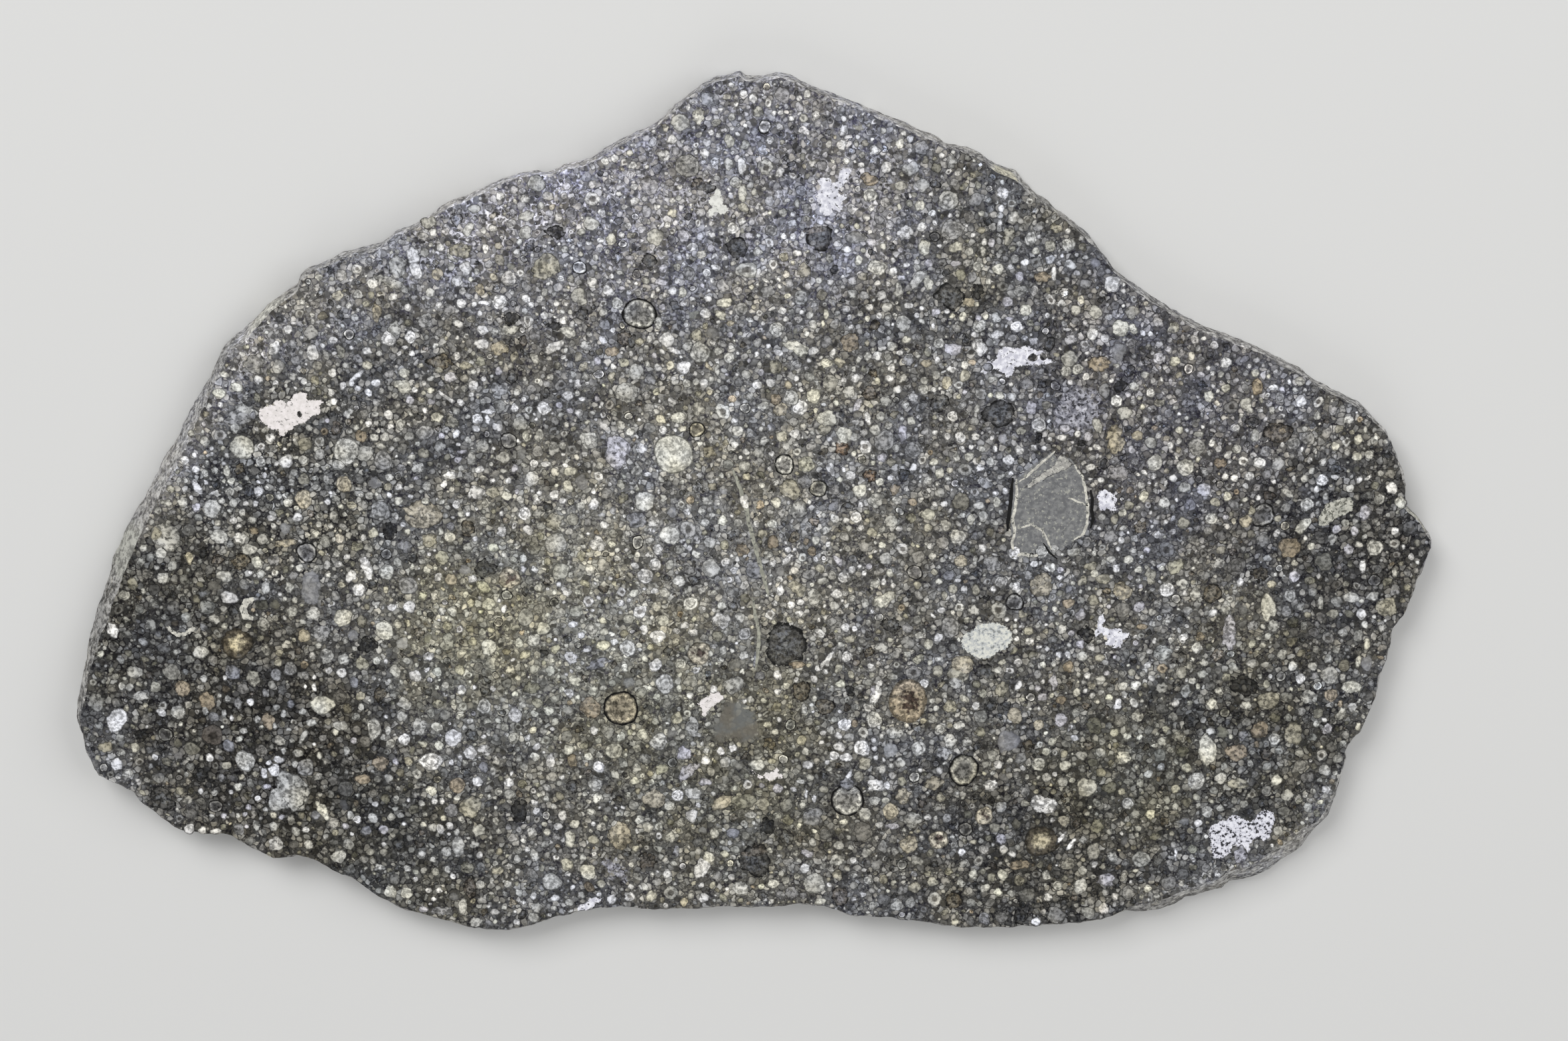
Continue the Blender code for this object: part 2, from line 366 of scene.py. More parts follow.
def zone_values_at(x_mm: np.ndarray, y_mm: np.ndarray) -> np.ndarray:
    """Return the zones' combined tint, painted light and shade included, and coarseness of the grains at
    points of the face.

    Args:
        x_mm: the points' places across.
        y_mm: the points' places up.

    Returns:
        One row a point: red, green and blue of the tint with its painted light and shade, and the
            coarseness.
    """
    values = np.ones((len(x_mm), 4))
    for zone in ZONES:
        mask = 1.0 - smooth_step(zone.away_from(x_mm, y_mm), ZONE_CORE, 1.0)
        values *= 1.0 + mask[:, None] * (np.array((*zone.grains, zone.coarse)) - 1.0)
    return values


@dataclass(frozen=True)
class RimMark:
    """An inclusion or grain that shows in the natural rim, near a pixel of the photograph."""

    px: float
    py: float
    reach_mm: float
    tone: Colour


# The marks that show in the photograph's rim
RIM_MARKS = (
    RimMark(402, 476, 2.1, (0.72, 0.71, 0.64)),
    RimMark(1516, 258, 1.2, (0.66, 0.63, 0.50)),
    RimMark(2132, 786, 1.4, (0.58, 0.57, 0.50)),
    RimMark(2142, 832, 1.3, (0.27, 0.265, 0.30)),
    RimMark(1664, 1374, 1.6, (0.60, 0.58, 0.48)),
    RimMark(190, 835, 2.6, (0.50, 0.50, 0.45)),
)

class Side(Enum):
    """The surfaces of the slice."""

    POLISHED = "polished"
    SAWN = "sawn"
    RIM = "rim"


@dataclass(frozen=True)
class SmallGrains:
    """One size of the small grains that crowd the stone's ground.

    They press against each other, round where they have room, with dark gaps between them. Radii and the
    gap are in spacings.
    """

    spacing_mm: float
    least: float
    most: float
    gap: float
    dark: Colour
    light: Colour
    lightness_power: float
    offset: tuple[float, float, float]
    soft_inside: float = 0.16
    soft_outside: float = 0.06
    shade_reach: float = 0.2
    shade: float = 0.5
    cool: Colour = (0.97, 0.985, 1.03)
    warm: Colour = (1.04, 1.0, 0.92)

    def over(self, board: Board, place: Wire, flat: bool, below: Wire, tint: Wire) -> tuple[Wire, Wire]:
        """Lay the grains over a colour.

        Args:
            board: the material's board.
            place: the place in millimetres.
            flat: whether the grains are discs in a sawn face instead of balls in the solid.
            below: the colour that the grains lie in.
            tint: what the grains' own colours are multiplied by, the zones' painted light and shade
                included.

        Returns:
            The new colour, and the mask of the grains.
        """
        settings = {"voronoi_dimensions": "2D" if flat else "3D"}
        cells = board.shifted(board.scaled(place, 1.0 / self.spacing_mm), self.offset)
        inputs = {"Vector": cells, "Scale": 1.0}
        found = board.node("ShaderNodeTexVoronoi", settings, inputs)
        settings["feature"] = "DISTANCE_TO_EDGE"
        border = board.node("ShaderNodeTexVoronoi", settings, inputs)["Distance"]
        lightness, size, hue = board.channels(found["Color"])
        radius = size * (self.most - self.least) + self.least
        away = found["Distance"]
        apart = board.step(border, 0.0, self.gap)
        mask = (1.0 - board.step(away, radius - self.soft_inside, radius + self.soft_outside)) * apart
        own = board.mixed(lightness ** self.lightness_power, self.dark, self.light)
        own = board.times(board.times(own, board.mixed(hue, self.cool, self.warm)), tint)
        near = 1.0 - board.step(away, radius - 0.05, radius + self.shade_reach)
        shaded = board.scaled(below, 1.0 - self.shade * near)
        return board.mixed(mask, shaded, own), mask


@dataclass(frozen=True)
class StoneGround:
    """The stone's ground: fine dust between crowded small grains, lighter or darker by zone, partly in its
    own tone and partly by painted light and shade.
    """

    dust_dark: Colour = (0.026, 0.025, 0.032)
    dust_light: Colour = (0.20, 0.20, 0.197)
    cloud_mm: float = 1.0
    powder_mm: float = 0.38
    powder_share: float = 0.55
    powder_relief_mm: float = 0.004
    grain_relief_mm: float = 0.008
    bend_size_mm: float = 0.55
    bend_mm: float = 0.5
    blotch_mm: float = 0.5
    lit_mm: float = 2.4
    hue_mm: float = 5.0
    bluish: Colour = (0.955, 0.975, 1.045)
    khaki: Colour = (1.045, 1.01, 0.925)
    layers: tuple[SmallGrains, ...] = (
        SmallGrains(
            0.34, 0.15, 0.65, 0.16, (0.065, 0.065, 0.065), (0.24, 0.24, 0.235), 1.1, (3.1, 7.7, 1.3)),
        SmallGrains(
            0.62, 0.20, 0.70, 0.14, (0.06, 0.06, 0.06), (0.44, 0.44, 0.428), 1.3, (0.0, 0.0, 0.4)),
    )

    def zone_tones_and_painted_light(self, board: Board, place: Wire) -> tuple[Wire, Wire]:
        """Return the zones' combined tints, of the ground and of the grains, painted light and shade
        included.
        """
        flat = board.times(place, (1.0, 1.0, 0.0))
        white = board.node("ShaderNodeCombineXYZ", {}, dict(enumerate(WHITE)))[0]
        ground, grains = white, white
        for zone in ZONES:
            if zone.end is None:
                away = board.distance(flat, zone.centre_mm())
            else:
                away = board.distance_to_line(flat, zone.centre_mm(), zone.end_mm())
            mask = 1.0 - board.step(away, zone.reach_mm * ZONE_CORE, zone.reach_mm)
            ground = board.times(ground, board.mixed(mask, WHITE, zone.ground))
            grains = board.times(grains, board.mixed(mask, WHITE, zone.grains))
        return ground, grains

    def paint(self, board: Board, place: Wire, flat: bool) -> tuple[Wire, Wire]:
        """Return the ground's colour and its relief in millimetres."""
        # The zones' tints hold painted light and shade, lighter towards the crown and darker towards the
        # foot and edges, besides the stone's own tone
        ground_tone_and_painted_light, grain_tone_and_painted_light = self.zone_tones_and_painted_light(board, place)
        bent = board.bent(place, self.bend_size_mm, self.bend_mm)
        clouds = board.noise(place, self.cloud_mm, 3.0, 0.65)
        powder = board.noise(place, self.powder_mm, 2.0, 0.6)
        mottle = board.step(clouds * (1.0 - self.powder_share) + powder * self.powder_share, 0.38, 0.64)
        colour = board.times(board.mixed(mottle, self.dust_dark, self.dust_light), ground_tone_and_painted_light)
        relief = powder * self.powder_relief_mm
        apart = board.noise(board.shifted(place, (0.0, 6.0, 3.0)), self.blotch_mm, 2.0, 0.6)
        blotch = board.step(apart, 0.36, 0.64)
        patchy = board.scaled(grain_tone_and_painted_light, (0.55 + self.lit(board, place) * 0.85) * (0.7 + blotch * 0.55))
        for layer in self.layers:
            colour, mask = layer.over(board, bent, flat, colour, patchy)
            relief = relief * (1.0 - mask) + mask * self.grain_relief_mm
        return board.times(colour, self.hue(board, place)), relief

    def lit(self, board: Board, place: Wire) -> Wire:
        """Return where the stone is lighter, 0 to 1, in clouds a millimetre or two across."""
        clouds = board.noise(board.shifted(place, (4.0, 0.0, 2.0)), self.lit_mm, 3.0, 0.65)
        return board.step(clouds, 0.3, 0.7)

    def hue(self, board: Board, place: Wire) -> Wire:
        """Return a tint that drifts between bluish and khaki over a few millimetres."""
        broad = board.noise(board.shifted(place, (0.0, 3.0, 0.0)), self.hue_mm, 2.0, 0.5)
        return board.mixed(board.step(broad, 0.34, 0.66), self.bluish, self.khaki)


GROUND = StoneGround()


@dataclass(frozen=True)
class StoneFinish:
    """The stone itself, on one side of the slice."""

    side: Side
    roughness: float = 0.52
    grain_gloss: float = 0.14
    saw_smear: Colour = (0.17, 0.17, 0.165)
    saw_smear_share: float = 0.22
    saw_relief_mm: float = 0.006
    saw_roughness: float = 0.14
    rim_gain: float = 1.5
    rim_lump_mm: float = 0.25
    rim_relief_mm: float = 0.05
    rim_roughness: float = 0.35
    dust_dark: Colour = (0.09, 0.088, 0.085)
    dust_light: Colour = (0.60, 0.59, 0.57)
    mark_strength: float = 0.85
    mark_flattening: float = 0.5

    def build(self) -> bpy.types.Material:
        """Return the material of this side."""
        board = Board(f"stone_{self.side.value}")
        place = board.place_mm()
        colour, relief = GROUND.paint(board, place, self.side is not Side.RIM)
        rough = self.roughness - board.step(relief, 0.0, GROUND.grain_relief_mm) * self.grain_gloss
        if self.side is Side.SAWN:
            colour = board.mixed(self.saw_smear_share, colour, self.saw_smear)
            saw = board.node(
                "ShaderNodeTexWave",
                {"wave_type": "BANDS", "bands_direction": "Y", "wave_profile": "SAW"},
                {"Vector": place, "Scale": 0.55, "Distortion": 0.6, "Detail": 2.0, "Detail Scale": 0.3},
            )["Fac"]
            relief = relief * 1.5 + saw * self.saw_relief_mm
            rough = rough + self.saw_roughness
        if self.side is Side.RIM:
            colour = self.crust(board, place, board.scaled(colour, self.rim_gain))
            lumps = board.noise(place, self.rim_lump_mm, 3.0, 0.6)
            relief = relief * 3.0 + lumps * self.rim_relief_mm
            rough = rough + self.rim_roughness
        return board.finish(colour, rough, relief)

    def crust(self, board: Board, place: Wire, below: Wire) -> Wire:
        """Return the rim's colour: pale speckled dust over the stone, and the marks that show in it."""
        coarse = board.noise(board.shifted(place, (0.0, 6.0, 0.0)), 0.95, 3.0, 0.65)
        specks = board.step(board.noise(place, 0.36, 3.0, 0.7) * 0.55 + coarse * 0.45, 0.42, 0.58)
        dust = board.mixed(specks, self.dust_dark, self.dust_light)
        cover = board.step(board.noise(board.shifted(place, (7.0, 0.0, 0.0)), 1.4, 3.0, 0.6), 0.3, 0.7)
        colour = board.mixed(cover * 0.5 + 0.35, below, dust)
        bent = board.times(board.bent(place, 1.1, 1.6), (1.0, 1.0, self.mark_flattening))
        for mark in RIM_MARKS:
            middle = VIEW.on_face(mark.px, mark.py) / MM
            away = board.distance(bent, (middle.x, middle.y, self.mark_flattening * middle.z))
            near = 1.0 - board.step(away, 0.7 * mark.reach_mm, 1.3 * mark.reach_mm)
            own = board.mixed(0.3 + specks * 0.7, self.dust_dark, mark.tone)
            colour = board.mixed(near * self.mark_strength, colour, own)
        return colour


class Style(Enum):
    """How a cut grain looks inside."""

    PLAIN = "plain"
    SPECKLED = "speckled"
    RINGED = "ringed"
    OUTLINED = "outlined"
    CORED = "cored"
    HALOED = "haloed"
    BLOTCHED = "blotched"
    SMOOTH = "smooth"
    SHADY = "shady"


@dataclass(frozen=True)
class GrainFinish:
    """The finish of cut grains of one style.

    Each grain brings its own tone. This says how the tone changes from its middle to its edge, which is
    frayed into the ground, and how much of the ground shows through it. Gains and the core's tint
    multiply the tone, and radii run from 0 in the middle to 1 at the edge.
    """

    core_tint: Colour = (1.0, 1.0, 1.0)
    core_radius: float = 0.4
    fade: float = 0.25
    band_gain: float = 1.0
    band_radius: float = 0.75
    band_width: float = 0.14
    edge_mm: float = 0.08
    edge_share: float = 0.1
    edge_strength: float = 0.7
    frayed_mm: float = 0.5
    wobble: float = 0.6
    mottle: float = 0.42
    mottle_mm: float = 0.36
    flecks: float = 0.5
    see_through: float = 0.1
    roughness: float = 0.36
    shape_mm: float = 0.6
    pit_mm: float = 0.32
    outline: Colour = (0.008, 0.008, 0.008)

    def build(self, style: Style) -> bpy.types.Material:
        """Return the material."""
        board = Board(f"grains_{style.value}")
        place = board.place_mm()
        tone = board.attribute("tone", "Color")
        radial = board.attribute("radial", "Fac")
        inward = board.attribute("inward", "Fac")
        ground, ground_relief = GROUND.paint(board, place, True)
        shape = board.noise(place, self.shape_mm, 2.0, 0.6) - 0.5
        lumps = board.noise(board.shifted(place, (5.0, 2.0, 0.0)), self.mottle_mm, 3.0, 0.65)
        lumps = board.step(lumps, 0.38, 0.62)
        pits = board.noise(board.shifted(place, (2.0, 9.0, 0.0)), self.pit_mm, 1.0, 0.5)
        pits = board.step(pits, 0.58, 0.70)
        reach = radial + shape * self.wobble
        core = 1.0 - board.step(reach, self.core_radius - 0.12, self.core_radius + 0.12)
        band = 1.0 - board.step(self.gap(board, reach), 0.0, self.band_width)
        gain = 1.0 + band * (self.band_gain - 1.0)
        gain = gain * (1.0 + 0.3 * self.fade - self.fade * board.step(radial, 0.0, 1.0))
        gain = gain * (1.0 - self.mottle + lumps * (2.0 * self.mottle)) * (1.0 - pits * self.flecks)
        tinted = board.times(tone, board.mixed(core, WHITE, self.core_tint))
        gain = gain * (0.78 + GROUND.lit(board, place) * 0.44)
        colour = board.times(board.scaled(tinted, gain), GROUND.hue(board, place))
        colour = board.mixed(self.see_through, colour, ground)
        depth = inward + (shape - 0.08) * self.frayed_mm
        thin = board.step(depth, 0.03, 0.03 + self.edge_mm)
        wide = 1.0 - board.step(radial + shape * 0.2, 1.0 - self.edge_share, 1.0 - 0.3 * self.edge_share)
        edge = 1.0 - thin * wide
        colour = board.mixed(edge * self.edge_strength, colour, self.outline)
        inside = board.step(depth, -0.02, 0.03)
        colour = board.mixed(inside, ground, colour)
        rough = lumps * 0.1 + edge * 0.2 + self.roughness
        relief = ground_relief * (1.0 - inside) + (lumps * 0.004 - edge * 0.01) * inside
        return board.finish(colour, rough, relief)

    def gap(self, board: Board, reach: Wire) -> Wire:
        """Return how far a radius is from the band's own."""
        off = reach - self.band_radius
        return board.node("ShaderNodeMath", {"operation": "ABSOLUTE"}, {0: off})[0]


GRAIN_FINISHES = {
    Style.PLAIN: GrainFinish(),
    Style.SPECKLED: GrainFinish(
        mottle=0.6, mottle_mm=0.45, flecks=0.7, see_through=0.25, frayed_mm=0.7),
    Style.RINGED: GrainFinish(
        core_radius=0.3, band_gain=0.5, band_radius=0.55, mottle=0.5, fade=0.0,
        edge_share=0.14, frayed_mm=0.4, wobble=0.9),
    Style.OUTLINED: GrainFinish(
        core_tint=(0.42, 0.42, 0.44), core_radius=0.62, band_gain=1.25, band_radius=0.76,
        band_width=0.12, mottle=0.65, mottle_mm=0.5, fade=0.0, edge_share=0.28,
        edge_strength=1.0, frayed_mm=0.25, wobble=0.9, flecks=0.6),
    Style.CORED: GrainFinish(core_tint=(0.26, 0.25, 0.24), mottle=0.4, fade=0.1),
    Style.BLOTCHED: GrainFinish(
        core_tint=(0.22, 0.18, 0.19), core_radius=0.36, band_gain=1.5, band_radius=0.76,
        mottle=0.6, mottle_mm=0.45, fade=0.0, edge_share=0.22, wobble=2.0, frayed_mm=0.2,
        flecks=0.7, see_through=0.15),
    Style.HALOED: GrainFinish(
        core_tint=(5.2, 5.4, 5.2), core_radius=0.5, mottle=0.6, mottle_mm=0.4, fade=0.1,
        edge_share=0.2, wobble=0.9, see_through=0.2),
    Style.SMOOTH: GrainFinish(
        mottle=0.25, mottle_mm=0.5, fade=0.25, edge_strength=0.3, flecks=0.25,
        see_through=0.25, frayed_mm=0.8, roughness=0.3),
    Style.SHADY: GrainFinish(
        core_tint=(1.5, 1.6, 1.8), core_radius=0.5, mottle=0.85, mottle_mm=0.3, fade=0.0,
        edge_share=0.26, edge_strength=0.9, frayed_mm=1.1, wobble=1.8, flecks=0.5,
        see_through=0.24),
}

@dataclass
class SliceBody:
    """The whole slice as one closed stone: two sawn faces and a rough natural rim."""

    name: str = "slice_stone"
    rim_cuts: int = 2
    rough_mm: tuple[tuple[float, float], ...] = ((1.1, 0.10), (0.45, 0.06), (0.2, 0.03))
    face_outline: Optional[list[Vector]] = None

    def build(self) -> bpy.types.Object:
        """Return the slice, shaped from the CAD node's own outline."""
        body = bmesh.new()
        body.from_mesh(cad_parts[SLICE_NODE].data)
        bmesh.ops.remove_doubles(body, verts=body.verts[:], dist=TINY)
        flat = [f for f in body.faces if self.is_level(f, 0.0) or self.is_level(f, FACE_Z)]
        bmesh.ops.delete(body, geom=flat, context="FACES")
        bmesh.ops.subdivide_edges(body, edges=body.edges[:], cuts=self.rim_cuts, use_grid_fill=True)
        bmesh.ops.recalc_face_normals(body, faces=body.faces[:])
        self.roughen(body)
        for level in (0.0, FACE_Z):
            loop = [e for e in body.edges if e.is_boundary and abs(e.verts[0].co.z - level) < TINY]
            bmesh.ops.holes_fill(body, edges=loop, sides=0)
        bmesh.ops.recalc_face_normals(body, faces=body.faces[:])
        self.finish_faces(body)
        mesh = bpy.data.meshes.new(self.name)
        body.to_mesh(mesh)
        body.free()
        return self.dress(mesh)

    @staticmethod
    def is_level(face: bmesh.types.BMFace, level: float) -> bool:
        """Tell whether a face lies flat at a height."""
        return all(abs(v.co.z - level) < TINY for v in face.verts)

    def roughen(self, body: bmesh.types.BMesh) -> None:
        """Push the rim in and out, level with the faces, by layers of noise."""
        body.normal_update()
        moves = []
        for vertex in body.verts:
            push = sum(depth * MM * noise.noise(vertex.co / (size * MM)) for size, depth in self.rough_mm)
            moves.append(Vector((vertex.normal.x, vertex.normal.y, 0.0)) * push)
        for vertex, move in zip(body.verts, moves):
            vertex.co += move

    def finish_faces(self, body: bmesh.types.BMesh) -> None:
        """Sink both sawn faces by the grains' relief, and give every face its side's finish."""
        body.normal_update()
        whole = [f for f in body.faces if len(f.verts) > 4]
        for face in body.faces:
            face.smooth = True
            face.material_index = 2
        for face in whole:
            up = face.normal.z > 0.0
            if up:
                self.face_outline = [v.co.copy() for v in face.verts]
            face.material_index = 0 if up else 1
            for vertex in face.verts:
                vertex.co.z = FACE_Z - GRAIN_RELIEF if up else GRAIN_RELIEF
            for edge in face.edges:
                edge.smooth = False
        pieces = bmesh.ops.triangulate(body, faces=whole)
        for face in pieces["faces"]:
            face.smooth = False

    def dress(self, mesh: bpy.types.Mesh) -> bpy.types.Object:
        """Return the finished piece with its three finishes."""
        for side in Side:
            mesh.materials.append(StoneFinish(side).build())
        piece = bpy.data.objects.new(self.name, mesh)
        bpy.context.scene.collection.objects.link(piece)
        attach(piece, BODY)
        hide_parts(SLICE_NODE)
        return piece

# The tones that grains are made in, before zones and chance change them
TONES: dict[str, Colour] = {
    "white": (0.78, 0.78, 0.78),
    "cream": (0.65, 0.64, 0.56),
    "pale": (0.50, 0.50, 0.475),
    "grey": (0.30, 0.30, 0.298),
    "blue": (0.27, 0.275, 0.295),
    "lilac": (0.52, 0.515, 0.56),
    "olive": (0.27, 0.265, 0.215),
    "khaki": (0.38, 0.365, 0.30),
    "tan": (0.335, 0.285, 0.215),
    "buff": (0.44, 0.40, 0.31),
    "rust": (0.14, 0.095, 0.06),
    "umber": (0.105, 0.09, 0.065),
    "brown": (0.10, 0.088, 0.075),
    "dark": (0.06, 0.06, 0.06),
    "black": (0.012, 0.012, 0.012),
}

# Added to the size of a grain read from the photograph, for the dark line around it
OUTLINE_MM = 0.12


@dataclass(frozen=True)
class Grain:
    """One cut grain; lengths in millimetres, turn in radians."""

    x: float
    y: float
    across: float
    high: float
    turn: float
    style: Style
    tone: Colour
    uneven: float
    under: bool = False


@dataclass(frozen=True)
class Spot:
    """A grain placed after the photograph, with sizes in its pixels and its turn in degrees."""

    px: float
    py: float
    across: float
    high: float = 0.0
    turn: float = 0.0
    uneven: float = 0.07

    def grain(self, style: Style, tone: str) -> Grain:
        """Return the grain that this spot stands for."""
        middle = VIEW.on_face(self.px, self.py)
        side = VIEW.on_face(self.px + 1.0, self.py) - middle
        up = VIEW.on_face(self.px, self.py - 1.0) - middle
        across = self.across * side.length / MM + OUTLINE_MM
        high = (self.high or self.across) * up.length / MM + OUTLINE_MM
        turn = math.radians(self.turn)
        return Grain(middle.x / MM, middle.y / MM, across, high, turn, style, TONES[tone], self.uneven)


class FaceBed:
    """A sawn face as a bed for grains: its outline, and what already lies in it."""

    cell_mm = 1.0

    def __init__(self, outline: Sequence[Vector]) -> None:
        """Keep the outline, in millimetres."""
        self.outline = np.array([(point.x / MM, point.y / MM) for point in outline])
        self.edge = kdtree.KDTree(len(self.outline))
        for number, (x, y) in enumerate(self.outline):
            self.edge.insert((x, y, 0.0), number)
        self.edge.balance()
        self.discs: dict[tuple[int, int], list[tuple[float, float, float]]] = {}

    def twin(self) -> "FaceBed":
        """Return an empty bed with the same outline."""
        return FaceBed([Vector((x * MM, y * MM, 0.0)) for x, y in self.outline])

    def cells(self, x: float, y: float, radius: float) -> list[tuple[int, int]]:
        """Return the cells of the bed that a disc reaches."""
        low_x, high_x = math.floor((x - radius) / self.cell_mm), math.floor((x + radius) / self.cell_mm)
        low_y, high_y = math.floor((y - radius) / self.cell_mm), math.floor((y + radius) / self.cell_mm)
        return [(i, j) for i in range(low_x, high_x + 1) for j in range(low_y, high_y + 1)]

    def lay(self, x: float, y: float, radius: float) -> None:
        """Take up a disc of the bed."""
        for cell in self.cells(x, y, radius):
            self.discs.setdefault(cell, []).append((x, y, radius))

    def is_free(self, x: float, y: float, radius: float) -> bool:
        """Tell whether a disc fits, clear of the edge and of all that lies in the bed."""
        if self.edge.find((x, y, 0.0))[2] < radius:
            return False
        for cell in self.cells(x, y, radius):
            for other_x, other_y, other_radius in self.discs.get(cell, ()):
                if math.hypot(x - other_x, y - other_y) < radius + other_radius:
                    return False
        return True

    @staticmethod
    def inside(points: np.ndarray, outline: np.ndarray) -> np.ndarray:
        """Tell for each point whether it lies inside a closed outline."""
        x, y = points[:, 0:1], points[:, 1:2]
        ax, ay = outline[:, 0], outline[:, 1]
        bx, by = np.roll(ax, -1), np.roll(ay, -1)
        rises = (ay > y) != (by > y)
        crossing = (bx - ax) * (y - ay) / np.where(by == ay, 1e-9, by - ay) + ax
        return (rises & (x < crossing)).sum(axis=1) % 2 == 1

    def scatter(self, rng: np.random.Generator, count: int) -> np.ndarray:
        """Return random points inside the outline."""
        low, high = self.outline.min(axis=0), self.outline.max(axis=0)
        points = rng.uniform(low, high, size=(count, 2))
        chunks = [chunk[self.inside(chunk, self.outline)] for chunk in np.array_split(points, 40)]
        return np.concatenate(chunks)


class GrainTemplate:
    """A thin closed disc whose copies make up the grains."""

    def __init__(self, segments: int) -> None:
        """Make the disc with bmesh and keep it as arrays."""
        disc = bmesh.new()
        bmesh.ops.create_cone(disc, cap_ends=True, segments=segments, radius1=1.0, radius2=1.0, depth=1.0)
        disc.normal_update()
        bmesh.ops.poke(disc, faces=[f for f in disc.faces if f.normal.z > 0.5])
        disc.verts.index_update()
        points = np.array([v.co[:] for v in disc.verts])
        self.faces = [[v.index for v in f.verts] for f in disc.faces]
        disc.free()
        self.radius = np.hypot(points[:, 0], points[:, 1])
        self.angle = np.arctan2(points[:, 1], points[:, 0])
        self.upper = points[:, 2] > 0.0


@dataclass(frozen=True)
class GrainMesh:
    """Joins many grains of one style into one mesh."""

    top_drop_mm: float = 0.004
    edge_drop_mm: float = 0.006
    waves: tuple[tuple[int, float], ...] = ((2, 0.9), (3, 0.8), (4, 0.6), (6, 0.4), (9, 0.4))
    segment_steps: tuple[tuple[float, int], ...] = ((0.5, 8), (0.85, 10), (1.3, 14), (99.0, 30))

    def join(self, name: str, grains: Sequence[Grain], rng: np.random.Generator) -> bpy.types.Mesh:
        """Return the mesh of the grains.

        Args:
            name: the mesh's name.
            grains: the grains, of any sizes.
            rng: source of the grains' uneven outlines.

        Returns:
            A mesh with the attributes tone, radial and inward.
        """
        points, faces, tones, radial, inward = [], [], [], [], []
        start = 0
        for low, (limit, segments) in zip((0.0, *(s[0] for s in self.segment_steps)), self.segment_steps):
            group = [g for g in grains if low <= g.across < limit]
            if not group:
                continue
            template = GrainTemplate(segments)
            shaped = self.shape(template, group, rng)
            number = len(template.radius)
            for index in range(len(group)):
                faces.extend([start + index * number + corner for corner in face] for face in template.faces)
            start += len(group) * number
            points.append(shaped.reshape(-1, 3))
            tones.append(np.repeat([(*g.tone, 1.0) for g in group], number, axis=0))
            radial.append(np.tile(template.radius, len(group)))
            least = np.array([min(g.across, g.high) / 2 for g in group])
            inward.append((least[:, None] * (1.0 - template.radius[None, :])).ravel())
        mesh = bpy.data.meshes.new(name)
        mesh.from_pydata((np.concatenate(points) * MM).tolist(), [], faces)
        mesh.attributes.new("tone", "FLOAT_COLOR", "POINT").data.foreach_set(
            "color", np.concatenate(tones).astype(np.float32).ravel())
        for label, values in (("radial", radial), ("inward", inward)):
            mesh.attributes.new(label, "FLOAT", "POINT").data.foreach_set(
                "value", np.concatenate(values).astype(np.float32))
        return mesh

    def shape(
        self, template: GrainTemplate, grains: Sequence[Grain], rng: np.random.Generator
    ) -> np.ndarray:
        """Return the points of every grain in millimetres, one row a grain."""
        count = len(grains)
        uneven = np.array([g.uneven for g in grains])[:, None]
        reach = np.ones((count, len(template.angle)))
        for waves, depth in self.waves:
            phase = rng.uniform(0.0, 2.0 * math.pi, size=(count, 1))
            depth = depth * rng.uniform(0.3, 1.0, size=(count, 1))
            reach += uneven * depth * np.cos(waves * template.angle + phase)
        reach *= template.radius
        across = np.array([g.across / 2 for g in grains])[:, None]
        high = np.array([g.high / 2 for g in grains])[:, None]
        turn = np.array([g.turn for g in grains])[:, None]
        own_x = across * reach * np.cos(template.angle)
        own_y = high * reach * np.sin(template.angle)
        x = own_x * np.cos(turn) - own_y * np.sin(turn)
        y = own_x * np.sin(turn) + own_y * np.cos(turn)
        drop = rng.uniform(0.0, self.top_drop_mm, size=(count, 1)) + self.edge_drop_mm * template.radius
        depth = np.where(template.upper, drop, ROOT_DEPTH / MM)
        flip = np.array([-1.0 if g.under else 1.0 for g in grains])[:, None]
        level = np.where(flip > 0, FACE_Z / MM - depth, depth)
        middle_x = np.array([g.x for g in grains])[:, None]
        middle_y = np.array([g.y for g in grains])[:, None]
        return np.stack([middle_x + x, middle_y + flip * y, level], axis=-1)


# The crown, above this pixel of the photograph, has none of the warm tones
CROWN_BELOW = (1150, 470)
WARM_TONES = ("tan", "rust", "brown", "umber")


@dataclass(frozen=True)
class StyleMix:
    """How often random grains have a style, and which tones they take."""

    style: Style
    share: float
    tones: tuple[tuple[str, float], ...]
    uneven: float = 0.05


# The kinds of random grains; their shares add up to 1
MIX = (
    StyleMix(Style.PLAIN, 0.38, (
        ("pale", 0.42), ("cream", 0.12), ("white", 0.06), ("grey", 0.28), ("khaki", 0.12)), 0.1),
    StyleMix(Style.SPECKLED, 0.34, (
        ("pale", 0.36), ("grey", 0.28), ("olive", 0.12), ("khaki", 0.14), ("blue", 0.06),
        ("tan", 0.04)), 0.12),
    StyleMix(Style.RINGED, 0.06, (
        ("pale", 0.55), ("grey", 0.25), ("olive", 0.1), ("tan", 0.05), ("blue", 0.05)), 0.06),
    StyleMix(Style.OUTLINED, 0.03, (("pale", 0.6), ("grey", 0.2), ("khaki", 0.2)), 0.06),
    StyleMix(Style.CORED, 0.05, (("pale", 0.6), ("white", 0.1), ("grey", 0.2), ("tan", 0.1)), 0.08),
    StyleMix(Style.SMOOTH, 0.03, (("blue", 0.35), ("grey", 0.45), ("olive", 0.2)), 0.12),
    StyleMix(Style.SHADY, 0.11, (("dark", 0.6), ("brown", 0.25), ("umber", 0.15)), 0.16),
)


